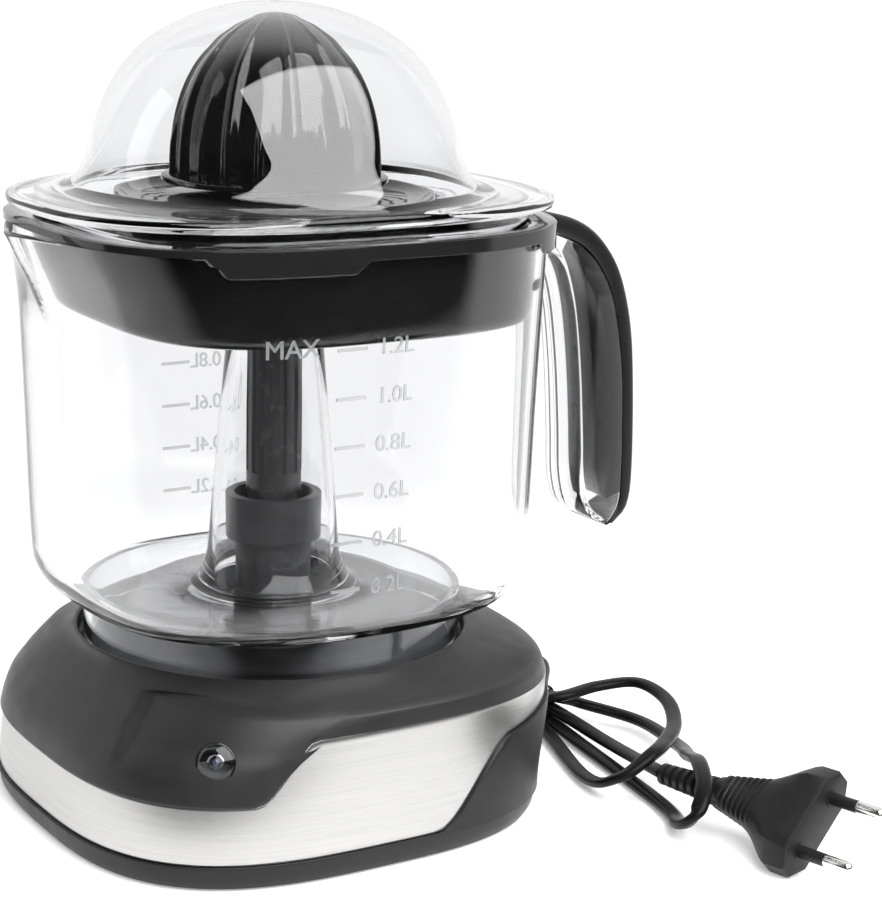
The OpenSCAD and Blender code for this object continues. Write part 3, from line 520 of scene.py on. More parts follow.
BAND_BOTTOM, BAND_LOW, BAND_HIGH = 8.2, 25.4, 43.4
BASE_TOP, RECESS_FLOOR, RECESS_R = 55.5, 51.6, 60
PANEL_DEPTH, SHOULDER_HEIGHT = 2.2, 0.9
CASING = [
    (24.0, 78.1, 76.9, 2.95, -0.6), (30, 77.9, 76.8, 2.9, 0.4), (36, 77.2, 76.7, 2.85, 2),
    (41, 75.8, 76.5, 2.75, 4.2), (45.5, 72.9, 76.1, 2.7, 6.0), (48.4, 70.8, 75.5, 2.65, 7.0),
    (49.4, 69.9, 74.3, 2.62, 6.9), (50.6, 68.4, 71.6, 2.53, 6.3), (52.4, 65.9, 67.6, 2.36, 4.6),
    (54.4, 62.9, 63.6, 2.15, 1.8), (BASE_TOP, 61.3, 61.6, 2.0, 0.0),
]
BAND = [(BAND_BOTTOM, 77.2, 76.0, 2.95, -1.7), (BAND_HIGH, 77.4, 75.6, 2.9, 1.6)]
TRAY = [(0.9, 75.6, 74.6, 2.95, -1.9), (3.2, 77.0, 75.8, 2.95, -1.9), (8.0, 77.7, 76.6, 2.95, -1.8)]
TRAY_END = [(7.0, 78.1, 76.9, 2.95, -1.7), (40, 78.6, 77.0, 2.9, 1.4)]


def band_top(x):
    """Height of the band's upper edge: low round the spout end, tall on the sides."""
    return BAND_LOW + (BAND_HIGH - BAND_LOW) * ease((x + 44) / 16)


def band_low_edge(x):
    """Height of the band's lower edge: it rises over the tray's raised end."""
    rise = 25.3 * ease((x - 16) / 26)
    return BAND_BOTTOM + rise + max(0, min(4.5, (x - 42) * 0.15))


def ring_between(keys, heights, edge, grow=0.0):
    """Rings of a wall between edge(x), its lowest and highest height at each column."""
    columns = []
    for t in turns():
        x = rounded_square(*keys[0][1:], t)[0]
        bottom, top = edge(x)
        column = []
        for share in heights:
            z = bottom + (top - bottom) * share
            a, b, n, cx = hermite(keys, z)
            px, py = rounded_square(a + grow, b + grow, n, cx, t)
            column.append((px, py, z))
        columns.append(column)
    return [[column[k] for column in columns] for k in range(len(heights))]


def panel_depth(x, y, z):
    """How far the indicator's flat panel is let into the casing's rounded end."""
    turn = math.degrees(math.atan2(y, x))
    crease = 48.9 + 2.7 * max(0.0, 1 - abs((turn + 133) / 24) ** 2)
    side = ease((turn + 151.2) / 1.8) * (1 - ease((turn + 146) / 34))
    low = ease((z - 31) / 12)
    high = 1 - ease((z - crease) / 1.1)
    return PANEL_DEPTH * side * low * high


def shoulder_lift(x, y, z):
    """A soft ridge on the shoulder, strongest at the handle's end."""
    turn = math.degrees(math.atan2(y, x))
    where = math.exp(-((z - RECESS_FLOOR) / 1.5) ** 2)
    return SHOULDER_HEIGHT * where * ease((abs(turn) < 90) * (1 - abs(turn) / 95) * 2)


def push_in(point, depth):
    x, y, z = point
    r = math.hypot(x, y)
    return (x * (1 - depth / r), y * (1 - depth / r), z)


def add_casing():
    heights = [k / 70 for k in range(71)]
    wall = ring_between(CASING, heights, lambda x: (band_top(x) + 0.2, BASE_TOP))
    wall = [[push_in(p, panel_depth(*p) - shoulder_lift(*p)) for p in ring] for ring in wall]
    edge = [[push_in((x, y, z - 0.1), 0.25) for x, y, z in wall[0]]]
    inner = [[push_in((x, y, z + 0.2), 2.6) for x, y, z in wall[0]]]
    rim = [circle(BASE_TOP + 0.25, 60.9), circle(BASE_TOP + 0.2, 60.4), circle(BASE_TOP - 0.3, RECESS_R),
           circle(RECESS_FLOOR + 0.8, RECESS_R), circle(RECESS_FLOOR, RECESS_R - 0.8),
           circle(RECESS_FLOOR, 40), circle(RECESS_FLOOR, 9.2), circle(RECESS_FLOOR - 2.4, 9.2)]
    outer = skin("casing", inner + edge + wall[1:] + rim, caps=(False, False), angle=50)
    finish_piece(outer, "base", casing_black, "casing_black", "top_casing", "recess_plate")


def add_band():
    """The steel strip, one millimetre thick with rolled edges."""
    def edge(x):
        return band_low_edge(x), band_top(x)
    heights = [0, 0.012] + spread(0.05, 0.95, 12) + [0.988, 1]
    outer = ring_between(BAND, heights, edge)
    inner = ring_between(BAND, heights, edge, grow=-0.9)
    outer[0] = [push_in(p, 0.15) for p in outer[0]]
    outer[-1] = [push_in(p, 0.15) for p in outer[-1]]
    band = skin("band", outer + inner[::-1], angle=50, loop=True)
    finish_piece(band, "base", steel, "band_steel", "steel_band")


def add_tray():
    rings = [outline_at(TRAY, z) for z in (0.9, 1.2, 1.8, 3.2, 5, 7, 7.6)]
    lip = [outline(8.0, 77.3, 76.2, 2.95, -1.8), outline(8.0, 75.2, 74.1, 2.95, -1.8)]
    under = [outline(0.9, 75.0, 74.0, 2.95, -1.9), outline(2.2, 72.6, 71.6, 2.95, -1.9)]
    low = skin("tray_low", under[::-1] + rings + lip, caps=(True, False), angle=40)
    heights = [0] + spread(0.02, 0.97, 14) + [1]

    def edge(x):
        return 7.2, max(7.3, band_low_edge(x) - 0.35)

    outer = ring_between(TRAY_END, heights, edge)
    outer[-1] = [push_in(p, 0.4) for p in outer[-1]]
    inner = ring_between(TRAY_END, [1, 0], edge, grow=-1.9)
    end = skin("tray_end", outer + inner, angle=50, loop=True)
    tray = join("tray", [low, end])
    finish_piece(tray, "base", tray_black, "tray_black", "base_tray")


def add_seals():
    """The dark skirt behind the band, which shows in the gaps above and below it."""
    skirt = [(8.0, 76.6, 75.4, 2.95, -1.7), (44.8, 76.6, 75.0, 2.9, 1.7)]

    def edge(x):
        return 7.6, band_top(x) + 1.2

    rings = ring_between(skirt, [0, 1], edge) + ring_between(skirt, [1, 0], edge, grow=-1)
    finish_piece(skin("band_backing", rings, angle=50, loop=True), "base", tray_black, "tray_black")


LENS_AT, LENS_DIR, LENS_TILT, LENS_R = (-51.2, -63.8, 38), math.radians(-129), math.radians(16), 5.5


def add_lens():
    """Clear domed lens over a dark well with its lamp, let into the casing's front corner."""
    turn = Euler((0, 0, LENS_DIR)).to_matrix() @ Euler((0, math.pi / 2 - LENS_TILT, 0)).to_matrix()
    matrix = Matrix.Translation((Vector(LENS_AT) + turn @ Vector((0, 0, 0.5))) * MM) @ turn.to_4x4()

    def add(name, profile, count, material, slot, *replaced):
        finish_piece(place(revolve(name, profile, count), matrix), "base", material, slot, *replaced)

    dome = [(0.001, 1.75), (1.4, 1.68), (2.7, 1.42), (3.8, 1.0), (4.7, 0.5), (5.2, 0.1), (5.25, -0.25),
            (3.6, -0.3), (2.3, -0.3), (2.1, 0.3), (1.5, 0.75), (0.001, 0.9)]
    add("lens_dome", dome, 64, lens_clear, "lens_clear", "indicator_lens")
    well = [(0.001, -0.42), (5.2, -0.42), (5.3, 0.1), (LENS_R, 0.2), (LENS_R + 0.25, 0.1),
            (LENS_R + 0.3, -1.4)]
    add("lens_well", well, 64, well_black, "casing_black")
    lamp = [(0.001, 0.6), (0.7, 0.5), (1.1, 0.2), (1.3, -0.3), (1.3, -0.4)]
    add("lens_lamp", lamp, 32, lamp_blue, "lens_clear")


add_casing()
add_band()
add_tray()
add_seals()
add_lens()


# ---------------------------------------------------------------- jug

RIM, JUG_UNDER, JUG_FLOOR = 180.0, 66.4, 69.0
SPOUT_REACH = 14.1
JUG_OUT = [
    (66.4, 61.0, 60.0, 2.6, 2.0), (67.5, 65.0, 61.6, 2.75, 2.1), (70, 68.4, 62.7, 2.9, 2.2),
    (75.8, 71.0, 63.5, 3.1, 2.3), (128, 72.6, 65.2, 3.1, 2.15), (RIM, 74.3, 67.0, 3.1, 2.0),
]
JUG_IN = [
    (69.0, 60.4, 59.0, 2.7, 2.0), (70.4, 64.8, 60.0, 2.9, 2.2), (75.6, 68.6, 61.1, 3.1, 2.3),
    (128, 70.2, 62.8, 3.1, 2.15), (RIM + 1, 71.9, 64.6, 3.1, 2.0),
]


def spout_push(point):
    """Draws the wall out into a pouring lip at the -X end, towards the rim."""
    x, y, z = point
    turn = math.degrees(math.atan2(y, -x))
    width = max(0.0, 1 - abs(turn) / 36) ** 1.25
    height = max(0.0, (z - 150) / (RIM - 150))
    lift = 1.6 * width * ease((z - 172) / 8)
    return (x - SPOUT_REACH * width * height ** 1.35, y * (1 - 0.12 * width * height), z + lift)


def circles(profile):
    """Rings from a list of (height, radius)."""
    return [circle(z, r) for z, r in profile]


def add_jug():
    wall = spread(80, 176, 40) + [178, 179.2, 179.8]
    steps_out = [66.4, 66.6, 67.0, 67.6, 68.6, 70, 72, 75.8] + wall
    steps_in = [69.0, 69.2, 69.7, 70.4, 72, 75.6] + wall
    outside = [[spout_push(p) for p in outline_at(JUG_OUT, z)] for z in steps_out]
    inside = [[spout_push(p) for p in outline_at(JUG_IN, z)] for z in steps_in]
    rim = [[(x, y, z + 0.25) for x, y, z in mix_rings(outside[-1], inside[-1], 0.5)]]
    # The underside runs in to the foot ring, and the floor up to the chimney
    ring_out, ring_in, ring_low = 58.2, 55.8, 52.0
    underside = circles([(JUG_UNDER, 23.2), (JUG_UNDER, 50), (JUG_UNDER, ring_out + 0.7)])
    profile = [(ring_in, JUG_UNDER - 0.1), (ring_in, ring_low + 0.5), (ring_in + 0.5, ring_low),
               (ring_out - 0.6, ring_low), (ring_out, ring_low + 0.6), (ring_out, JUG_UNDER - 0.1)]
    foot = revolve("jug_ring", profile, count=RING, closed=True)
    # The foot ring's darker clear material is painted shade
    finish_piece(foot, "jug", foot_clear_painted_shade, "jug_clear")
    floor = [outline(JUG_FLOOR, 55, 54, 2.4, 1.4)] + circles([
        (JUG_FLOOR, 40), (JUG_FLOOR, 26.5), (JUG_FLOOR + 0.4, 24.6), (JUG_FLOOR + 1.6, 23.2),
        (JUG_FLOOR + 5, 21.6), (JUG_FLOOR + 9, 20.4), (100, 18.6), (125, 16.4), (148.6, 14.4),
        (149.7, 13.9), (150, 13.2), (149.7, 12.5), (148.8, 12.4), (125, 14.4), (100, 16.6),
        (78, 18.5), (JUG_UNDER + 2, 19.4), (JUG_UNDER + 0.4, 20), (JUG_UNDER, 20.8)])
    jug = skin("jug_body", underside + outside + rim + inside[::-1] + floor, angle=60, loop=True)
    finish_piece(jug, "jug", jug_clear, "jug_clear", "jug", "jug_spout", "jug_foot", "jug_chimney")


# Side view of the handle, from the top down: the face by the fingers, the
# channel's rim, and the outside of the grip
HANDLE_IN = [(73, 167.2), (84, 168.3), (96.5, 165), (102.6, 151), (106, 129), (108, 104), (109, 88),
             (112.6, 78), (120.4, 73)]
HANDLE_RIM = [(73, 177.2), (84, 175.8), (96.2, 172), (108.5, 166), (117.8, 153.8), (122.8, 136.2),
              (125, 117), (125.8, 90), (125, 79.5), (120.8, 73.2)]
GRIP_OUT = [(80.8, 180.4), (90.4, 179.6), (103.7, 176.4), (113.8, 170.2), (122, 159.1), (127.3, 142.2),
            (129.6, 121.5), (130.6, 92), (129, 78.8), (123.4, 73.5)]
HANDLE_W = 20.6


def sweep_between(name, inner, outer, shares):
    """A bar between two side-view curves; shares are (place from in to out, half width there)."""
    rings = []
    for p, q in zip(inner, outer):
        p, q = Vector(p), Vector(q)
        spots = [(p + (q - p) * share, half) for share, half in shares]
        section = [(spot.x, half, spot.y) for spot, half in spots]
        rings.append(section + [(x, -y, z) for x, y, z in reversed(section)])
    return skin(name, rings, angle=50)


def resample(points, count):
    """count points spaced evenly along a curve."""
    curve = [Vector(p) for p in catmull(points, 12)]
    lengths = [0.0]
    for a, b in zip(curve, curve[1:]):
        lengths.append(lengths[-1] + (b - a).length)
    out, k = [], 0
    for i in range(count):
        target = lengths[-1] * i / (count - 1)
        while k < len(lengths) - 2 and lengths[k + 1] < target:
            k += 1
        span = lengths[k + 1] - lengths[k]
        out.append(tuple(curve[k] + (curve[k + 1] - curve[k]) * ((target - lengths[k]) / span)))
    return out


def offset_towards(inner, outer, distance):
    """Points a set distance from inner towards outer."""
    out = []
    for p, q in zip(inner, outer):
        p, q = Vector(p), Vector(q)
        out.append(tuple(p + (q - p).normalized() * min(distance, (q - p).length * 0.9)))
    return out


def add_handle():
    count = 60
    inner, rim = resample(HANDLE_IN, count), resample(HANDLE_RIM, count)
    half = HANDLE_W / 2
    wall = 2.2
    web = offset_towards(inner, rim, wall)
    # U section: outside face, rounded corners, down one flange and up the other
    rings = []
    for p, w, q in zip(inner, web, rim):
        p, w, q = Vector(p), Vector(w), Vector(q)
        out = (q - p).normalized()
        section = []
        for base, along, inward in ((p, 0, 1.2), (p, 0.35, 0.35), (p, 1.2, 0), (q, -0.5, 0), (q, 0, 0.5),
                                    (q, 0, wall - 0.4), (q, -0.4, wall), (w, 0.8, wall), (w, 0, wall + 0.8)):
            spot = base + out * along
            section.append((spot.x, inward - half, spot.y))
        rings.append(section + [(x, -y, z) for x, y, z in reversed(section)])
    channel = skin("handle_channel", rings, angle=60)
    finish_piece(channel, "jug", jug_clear, "jug_clear", "jug_handle")

    first = next(i for i, p in enumerate(rim) if p[0] > 82)
    strip_in = [(x + 0.35, z + 0.35) for x, z in rim[first:]]
    strip_out = resample(GRIP_OUT, len(strip_in))
    strip = sweep_between("grip_strip", strip_in, strip_out, [
        (0.0, half - 0.4), (0.12, half), (0.72, half), (0.9, half - 0.5), (1.0, half - 1.8)])
    core_in = offset_towards(inner, rim, 8.5)
    last = next(i for i, p in enumerate(rim) if p[1] < 82 and i > 20)
    rows = [i for i in range(first + 2, last) if (Vector(rim[i]) - Vector(core_in[i])).length > 2.5]
    core = sweep_between("grip_core", [core_in[i] for i in rows], [rim[i] for i in rows],
                         [(0.0, half - 5.2), (0.06, half - 4.0), (0.2, half - 3.2), (1.0, half - 3.2)])
    grip = join("grip", [strip, core])
    finish_piece(grip, "jug", grip_black, "grip_black", "handle_grip")


# Place of MAX and size of its letters, in millimetres
MARK_MAX, MAX_SIZE = (-36.5, 154.3), 7.4
# The litre scale: its lowest line, the step between lines, the size of its
# letters, and the columns of labels and lines on the front and at the back
MARK_Z0, MARK_STEP, LABEL_SIZE = 82.9, 14.1, 6.8
FRONT_LABEL_X, BACK_LABEL_X = -2.0, 14
FRONT_TICK, BACK_TICK = (-15.0, -5.5), (-8, 2)
# How far the letters stand off the wall, and how far the wall leans out
MARK_PROUD, WALL_LEAN = 0.08, math.radians(1.9)


def add_marks():
    """Raised MAX line and litre scale on the front wall, and a second scale at the back."""
    def wall_y(x, z):
        a, b, n, cx = hermite(JUG_OUT, z)
        return b * (1 - abs((x - cx) / a) ** n) ** (1 / n)

    def text(name, words, x, z, size, side):
        """Raised letters at x, z on the front wall (side -1) or the back wall (side 1)."""
        curve = bpy.data.curves.new(name, "FONT")
        curve.body = words
        curve.size = size * MM
        curve.extrude = 0.15 * MM
        curve.bevel_depth = 0.05 * MM
        curve.offset = -0.02 * MM
        curve.align_x, curve.align_y = "LEFT", "CENTER"
        holder = add_object(name, curve)
        bpy.context.view_layer.update()
        graph = bpy.context.evaluated_depsgraph_get()
        mesh = bpy.data.meshes.new_from_object(holder.evaluated_get(graph))
        bpy.data.objects.remove(holder)
        upright = Euler((math.pi / 2 + WALL_LEAN, 0, math.pi if side > 0 else 0)).to_matrix().to_4x4()
        spot = Vector((x, side * (wall_y(x, z) + MARK_PROUD), z)) * MM
        mesh.transform(Matrix.Translation(spot) @ upright)
        for vertex in mesh.vertices:
            # Wrap the flat letters onto the curved wall
            here, height = vertex.co.x / MM, vertex.co.z / MM
            vertex.co.y += side * (wall_y(here, height) - wall_y(x, height)) * MM
        return add_object(name, mesh)

    pieces = [text("mark_max", "MAX", *MARK_MAX, MAX_SIZE, -1)]
    for k in range(6):
        z = MARK_Z0 + MARK_STEP * k
        label = f"{0.2 * (k + 1):.1f}L"
        for side, label_x, (x0, x1) in ((-1, FRONT_LABEL_X, FRONT_TICK), (1, BACK_LABEL_X, BACK_TICK)):
            pieces.append(text(f"mark_{k}_{side}", label, label_x, z, LABEL_SIZE, side))
            y0 = wall_y((x0 + x1) / 2, z)
            low, high = sorted((side * (y0 - 0.25), side * (y0 + 0.2)))
            pieces.append(block(f"tick_{k}_{side}", (x0, low, z - 0.45), (x1, high, z + 0.45)))
    marks = join("jug_marks", pieces)
    finish_piece(marks, "jug", mark_frost.material, "jug_clear")


add_jug()
add_handle()
add_marks()


# ---------------------------------------------------------------- basket and reamers

FLANGE_Z, FLANGE_TOP, BASKET_UNDER = 180.3, 182.6, 153.2
BASKET_OUT = [(BASKET_UNDER, 62.0, 59.4, 3.2, 6.0), (154.4, 64.2, 61.4, 3.3, 6.1), (157.2, 65.2, 62.2, 3.3, 6.0),
              (180.4, 71.0, 63.7, 3.2, 2.0)]
BASKET_IN = [(155.2, 60.2, 57.6, 3.2, 6.0), (157.6, 63.4, 60.4, 3.3, 6.0), (176, 67.2, 60.2, 3.2, 3.0),
             (180.6, 69.0, 60.5, 3.2, 2.2)]


def flange_lip(x):
    """Depth of the lip that hangs outside the jug's rim: deeper tabs at two corners."""
    tab = ease((x + 50) / 3) * (1 - ease((x + 9) / 3)) + ease((x - 56) / 3)
    return 178.2 - 3.6 * min(1, tab) if x > -52 else FLANGE_Z


def add_basket():
    steps = [BASKET_UNDER, 153.4, 153.9, 154.6, 156, 158] + spread(162, FLANGE_Z, 10)
    body = [outline_at(BASKET_OUT, z) for z in steps]
    under = [outline_at(BASKET_OUT, FLANGE_Z, 3.4)]
    lip_in = ring_between([(170, 75.4, 67.8, 3.1, 2), (183, 75.4, 67.8, 3.1, 2)], [1, 0.1, 0],
                          lambda x: (flange_lip(x), FLANGE_Z))
    lip_out = ring_between([(170, 78, 68.5, 3.0, 2), (183, 78, 68.5, 3.0, 2)], [0, 0.06, 0.5, 0.94, 1],
                           lambda x: (flange_lip(x), FLANGE_TOP))
    lip_out[0] = [push_in(p, 0.5) for p in lip_out[0]]
    lip_out[-1] = [push_in(p, 0.5) for p in lip_out[-1]]
    top = [outline(FLANGE_TOP, 70.2, 62.9, 3.15, 2), outline(FLANGE_TOP - 0.5, 69.4, 62.1, 3.2, 2),
           outline(180.9, 69.3, 62.0, 3.2, 2), outline(180.6, 69.0, 60.6, 3.2, 2.2)]
    inside = [outline_at(BASKET_IN, z) for z in (180, 176, 170, 163, 157.6, 156.2, 155.4)]
    floor = [outline(155.2, 56, 54, 2.8, 5)]
    floor += circles([(155.2, 44), (155.2, 13.4), (155.8, 12.6), (177, 12.5), (178, 11.8), (178, 9.8),
                      (177.2, 9.3), (153.6, 9.3), (BASKET_UNDER, 9.8), (BASKET_UNDER, 40)])
    floor += [outline(BASKET_UNDER, 56, 54, 2.8, 5)]
    basket = skin("basket_body", body + under + lip_in + lip_out + top + inside + floor, angle=45, loop=True)
    finish_piece(basket, "basket", basket_black, "basket_black", "basket")


def add_strainer():
    """Pulp strainer: a dished disc with radial slots, on a pillar."""
    slots, per = 36, 8
    count = slots * per
    stations = [(12, 188.8), (16, 188.6), (30, 187.8), (33, 187.6), (40, 186.9), (43, 186.7), (46.2, 188.6),
                (46.6, 189.0), (47.8, 189.0), (48, 188.6), (48, 187.6), (46, 186), (43, 185), (40, 184.4),
                (33, 184.9), (30, 185.1), (16, 186.2), (12, 186.4)]
    points, faces = [], []
    for r, z in stations:
        points += [(r * math.cos(2 * math.pi * i / count), r * math.sin(2 * math.pi * i / count), z)
                   for i in range(count)]
    rows = len(stations)
    for k in range(rows):
        for i in range(count):
            if k in (3, 13) and i % per in (0, 1):
                continue
            low, high = k * count, (k + 1) % rows * count
            faces.append((low + i, low + (i + 1) % count, high + (i + 1) % count, high + i))
    # Walls of the slots, between the upper and the lower sheet
    top_in, top_out, low_out, low_in = 3 * count, 4 * count, 13 * count, 14 * count
    for first in range(0, count, per):
        for i in (first, first + 2):
            faces.append((top_in + i, top_out + i, low_out + i, low_in + i))
        for i in (first, first + 1):
            for top, low in ((top_in, low_in), (top_out, low_out)):
                faces.append((top + i, top + i + 1, low + i + 1, low + i))
    disc = sharpen(make_mesh("strainer_disc", points, faces), 35)
    pillar = revolve("strainer_wall", [(46, 155.4), (46, 186), (44.2, 186), (44.2, 155.4)], closed=True)
    hub = revolve("strainer_hub", [(15, 178.3), (15, 188.4), (12, 188.4), (12, 178.3)], closed=True)
    strainer = join("strainer_dish", [disc, pillar, hub])
    finish_piece(strainer, "basket", basket_black, "basket_black", "strainer")


CONE_Z, CONE_APEX, CONE_R, CONE_RIBS = 192.0, 242.0, 31.6, 10


def add_reamer():
    """Large reamer: tall ribs that reach the tip, with short ribs between them at the foot."""
    count, rows = 480, 90
    foot = CONE_Z + 1.4
    rings = []
    for k in range(rows + 1):
        t = 0.995 * (k / rows) ** 0.85
        z = foot + (CONE_APEX - foot) * t
        r = CONE_R * (1 - t ** 2.5) ** 0.58
        ring = []
        for turn in turns(count):
            wave = abs(math.cos(turn * CONE_RIBS / 2))
            main = wave ** 26 * 2.6 * (1 - ease((t - 0.75) / 0.25) * 0.6)
            half = abs(math.cos((turn + math.pi / CONE_RIBS) * CONE_RIBS / 2)) ** 40
            short = half * 2.2 * (1 - ease((t - 0.18) / 0.4))
            extra = abs(math.cos(turn * CONE_RIBS)) ** 30 * 1.2 * (1 - ease((t - 0.02) / 0.2)) * (1 - half)
            body = r - 2.0 * (1 - 0.55 * t) + max(main, short, extra) * (1 - 0.45 * t)
            body = min(body, r + 0.2)
            ring.append((body * math.cos(turn), body * math.sin(turn), z))
        rings.append(ring)
    rings.append([(p[0] * 0.3, p[1] * 0.3, CONE_APEX) for p in rings[-1]])
    cone = skin("reamer_ribs", rings, caps=(False, True), angle=60)
    foot_rim = revolve("reamer_foot", [(28.0, 193.9), (29.0, 194.4), (33.2, 194.2), (33.9, 193.7),
                                       (34, 192.6), (33.6, 192.1), (28.2, CONE_Z)], count=160, closed=True)
    reamer = join("reamer_cone", [cone, foot_rim])
    finish_piece(reamer, "cones", reamer_black, "reamer_black", "reamer")


add_basket()
add_strainer()
add_reamer()


# ---------------------------------------------------------------- dust cover

DOME = [(0.001, 245.6), (4, 245.45), (8, 245.1), (13, 244.3), (18.5, 243.0), (25, 240.8), (32, 237.5),
        (38.5, 233.2), (44, 227.6), (48.6, 221), (52, 214), (54.5, 207), (56, 201), (57.2, 197.6),
        (58.8, 194.6), (61.2, 192)]
COVER_WALL = 1.5
# The brim, out from the dome and back under it: height, how far the outline
# has gone from the dome's circle to the brim's rounded square, and its growth
BRIM = [(191.1, 0.1, 0), (190.6, 0.3, 0), (190.3, 0.55, 0), (189.9, 0.8, 0), (189.5, 0.93, 0),
        (189.0, 0.975, 0), (188.3, 1, 0), (187.2, 1, -0.1), (186.3, 1, -0.4), (186.15, 1, -0.9),
        (186.3, 1, -1.5), (187.4, 1, -1.8), (187.7, 0.96, -1.8), (188.1, 0.8, -1), (188.5, 0.55, -1),
        (188.7, 0.3, -1.2), (189.2, 0.12, -1.6)]
SKIRT = [(188.2, 0), (184, 0), (181.4, 0), (181.05, -0.4), (181.05, -1.0), (181.4, -1.5), (184, -1.5),
         (188.2, -1.5)]


def add_cover():
    profile = catmull(DOME, 4)
    outside = [circle(z, r) for r, z in profile]
    slope = [mix_rings(circle(z, 61.5 + grow), outline(z, 81.0 + grow, 65.0 + grow, 2.6, 2.9), share)
             for z, share, grow in BRIM]
    inside = []
    for k, (r, z) in enumerate(profile):
        ahead = Vector(profile[min(k + 1, len(profile) - 1)]) - Vector(profile[max(k - 1, 0)])
        inward = Vector((ahead.y, -ahead.x)).normalized() * COVER_WALL
        inside.insert(0, circle(z + inward.y, max(0.001, r + inward.x)))
    cover = skin("cover_dome", outside + slope + inside, caps=(False, False), angle=60)
    skirt = skin("cover_skirt", [outline(z, 68.4 + grow, 61.1 + grow, 3.2, 2.0) for z, grow in SKIRT],
                 angle=60, loop=True)
    finish_piece(join("cover", [cover, skirt]), "cover", cover_clear, "cover_clear", "dust_cover", "cover_brim")


add_cover()


# ---------------------------------------------------------------- plug, strain relief and tie

PLUG_AT, PLUG_TURN = (108.4, -136.4, 14.3), (-47.6, -2.75, -80.8)
PIN_SPREAD, PLUG_RELIEF_END = 9.5, 62
PLUG_HALF_W, PLUG_HALF_H = 17.6, 6.8
PLUG_CORNERS = [(17.6, 2.4), (12, 6.8), (-12, 6.8), (-17.6, 2.4), (-17.6, -2.4), (-12, -6.8), (12, -6.8),
                (17.6, -2.4)]
# The plug from its face back: place, share of full width and height, and how
# far its section has gone from eight-sided to oval
PLUG_BODY = [
    (0, 0.93, 0.86, 0), (-0.3, 0.975, 0.95, 0), (-1.2, 1, 1, 0), (-7.5, 1, 1, 0), (-9.5, 0.96, 1, 0.1),
    (-12, 0.87, 1, 0.3), (-15, 0.74, 0.98, 0.5), (-18, 0.62, 0.95, 0.7), (-21, 0.52, 0.92, 0.85),
    (-25, 0.43, 0.88, 1), (-30, 0.36, 0.84, 1), (-35, 0.32, 0.8, 1), (-37.4, 0.29, 0.74, 1),
    (-37.8, 0.26, 0.66, 1),
]


def plug_matrix():
    roll, pitch, yaw = (math.radians(v) for v in PLUG_TURN)
    return Matrix.Translation(Vector(PLUG_AT) * MM) @ Euler((roll, pitch, yaw), "XYZ").to_matrix().to_4x4()


def flat_section(x, half_w, half_h):
    """Cross-section of a grip rib at x: a flat rounded outline, long way along Z."""
    ring = []
    for t in turns(24):
        w, h = rounded_square(half_w, half_h, 3.5, 0, t)
        ring.append((x, h, w))
    return ring


def plug_section(x, scale_w, scale_h, blend):
    """The plug's cross-section at x: eight-sided, or drawn by blend towards an oval."""
    ring = []
    for (w0, h0), (w1, h1) in zip(PLUG_CORNERS, PLUG_CORNERS[1:] + PLUG_CORNERS[:1]):
        for k in range(6):
            w, h = w0 + (w1 - w0) * k / 6, h0 + (h1 - h0) * k / 6
            turn = math.atan2(h / PLUG_HALF_H, w / PLUG_HALF_W)
            ow, oh = PLUG_HALF_W * math.cos(turn), PLUG_HALF_H * math.sin(turn)
            ring.append((x, (h + (oh - h) * blend) * scale_h, (w + (ow - w) * blend) * scale_w))
    return ring


def add_plug():
    pieces = [skin("plug_block", [plug_section(*row) for row in PLUG_BODY], angle=35)]
    for k in range(7):
        x = -19.5 - 2.3 * k
        half = PLUG_HALF_W * (0.56 - 0.033 * k)
        top = 6.45 - 0.12 * k
        steps = ((0, 0.8, 5.6), (-0.3, 0.86, top), (-0.9, 0.86, top), (-1.2, 0.8, 5.6))
        pieces.append(skin(f"grip_rib_{k}", [flat_section(x + dx, half * w, h) for dx, w, h in steps],
                           angle=50))
    relief = [(4.6, -37.2)]
    for k in range(7):
        x = -38.6 - 3.3 * k
        r = 4.4 - 0.17 * k
        relief += [(r * 0.72, x), (r * 0.72, x - 1.2), (r, x - 1.4), (r, x - 3.0)]
    relief += [(2.9, -PLUG_RELIEF_END + 0.3), (2.4, -PLUG_RELIEF_END)]
    pieces.append(place(revolve("plug_tail", relief, count=40), ALONG_X))
    plug = place(join("plug_moulding", pieces), plug_matrix())
    finish_piece(plug, "base", plug_black, "plug_black", "plug_body")

    def pin_pair(name, profile):
        pins = [place(revolve(f"{name}_{side}", profile, count=32),
                      Matrix.Translation((0, 0, side * PIN_SPREAD * MM)) @ ALONG_X) for side in (-1, 1)]
        return place(join(name, pins), plug_matrix())

    sleeves = pin_pair("pin_sleeves", [(2.6, -0.5), (2.6, 0.25), (1.95, 0.3), (1.95, 9.9), (1.7, 10.1),
                                       (1.6, 10.1)])
    finish_piece(sleeves, "base", plug_black, "plug_black")
    metal_pins = pin_pair("pin_metal", [(1.9, 9.5), (1.95, 10.3), (1.98, 10.5), (1.98, 17.4), (1.75, 18.4),
                                        (1.2, 19.0), (0.5, 19.25), (0.001, 19.3)])
    finish_piece(metal_pins, "base", nickel, "pin_nickel", "plug_pins")
    return plug, sleeves, metal_pins


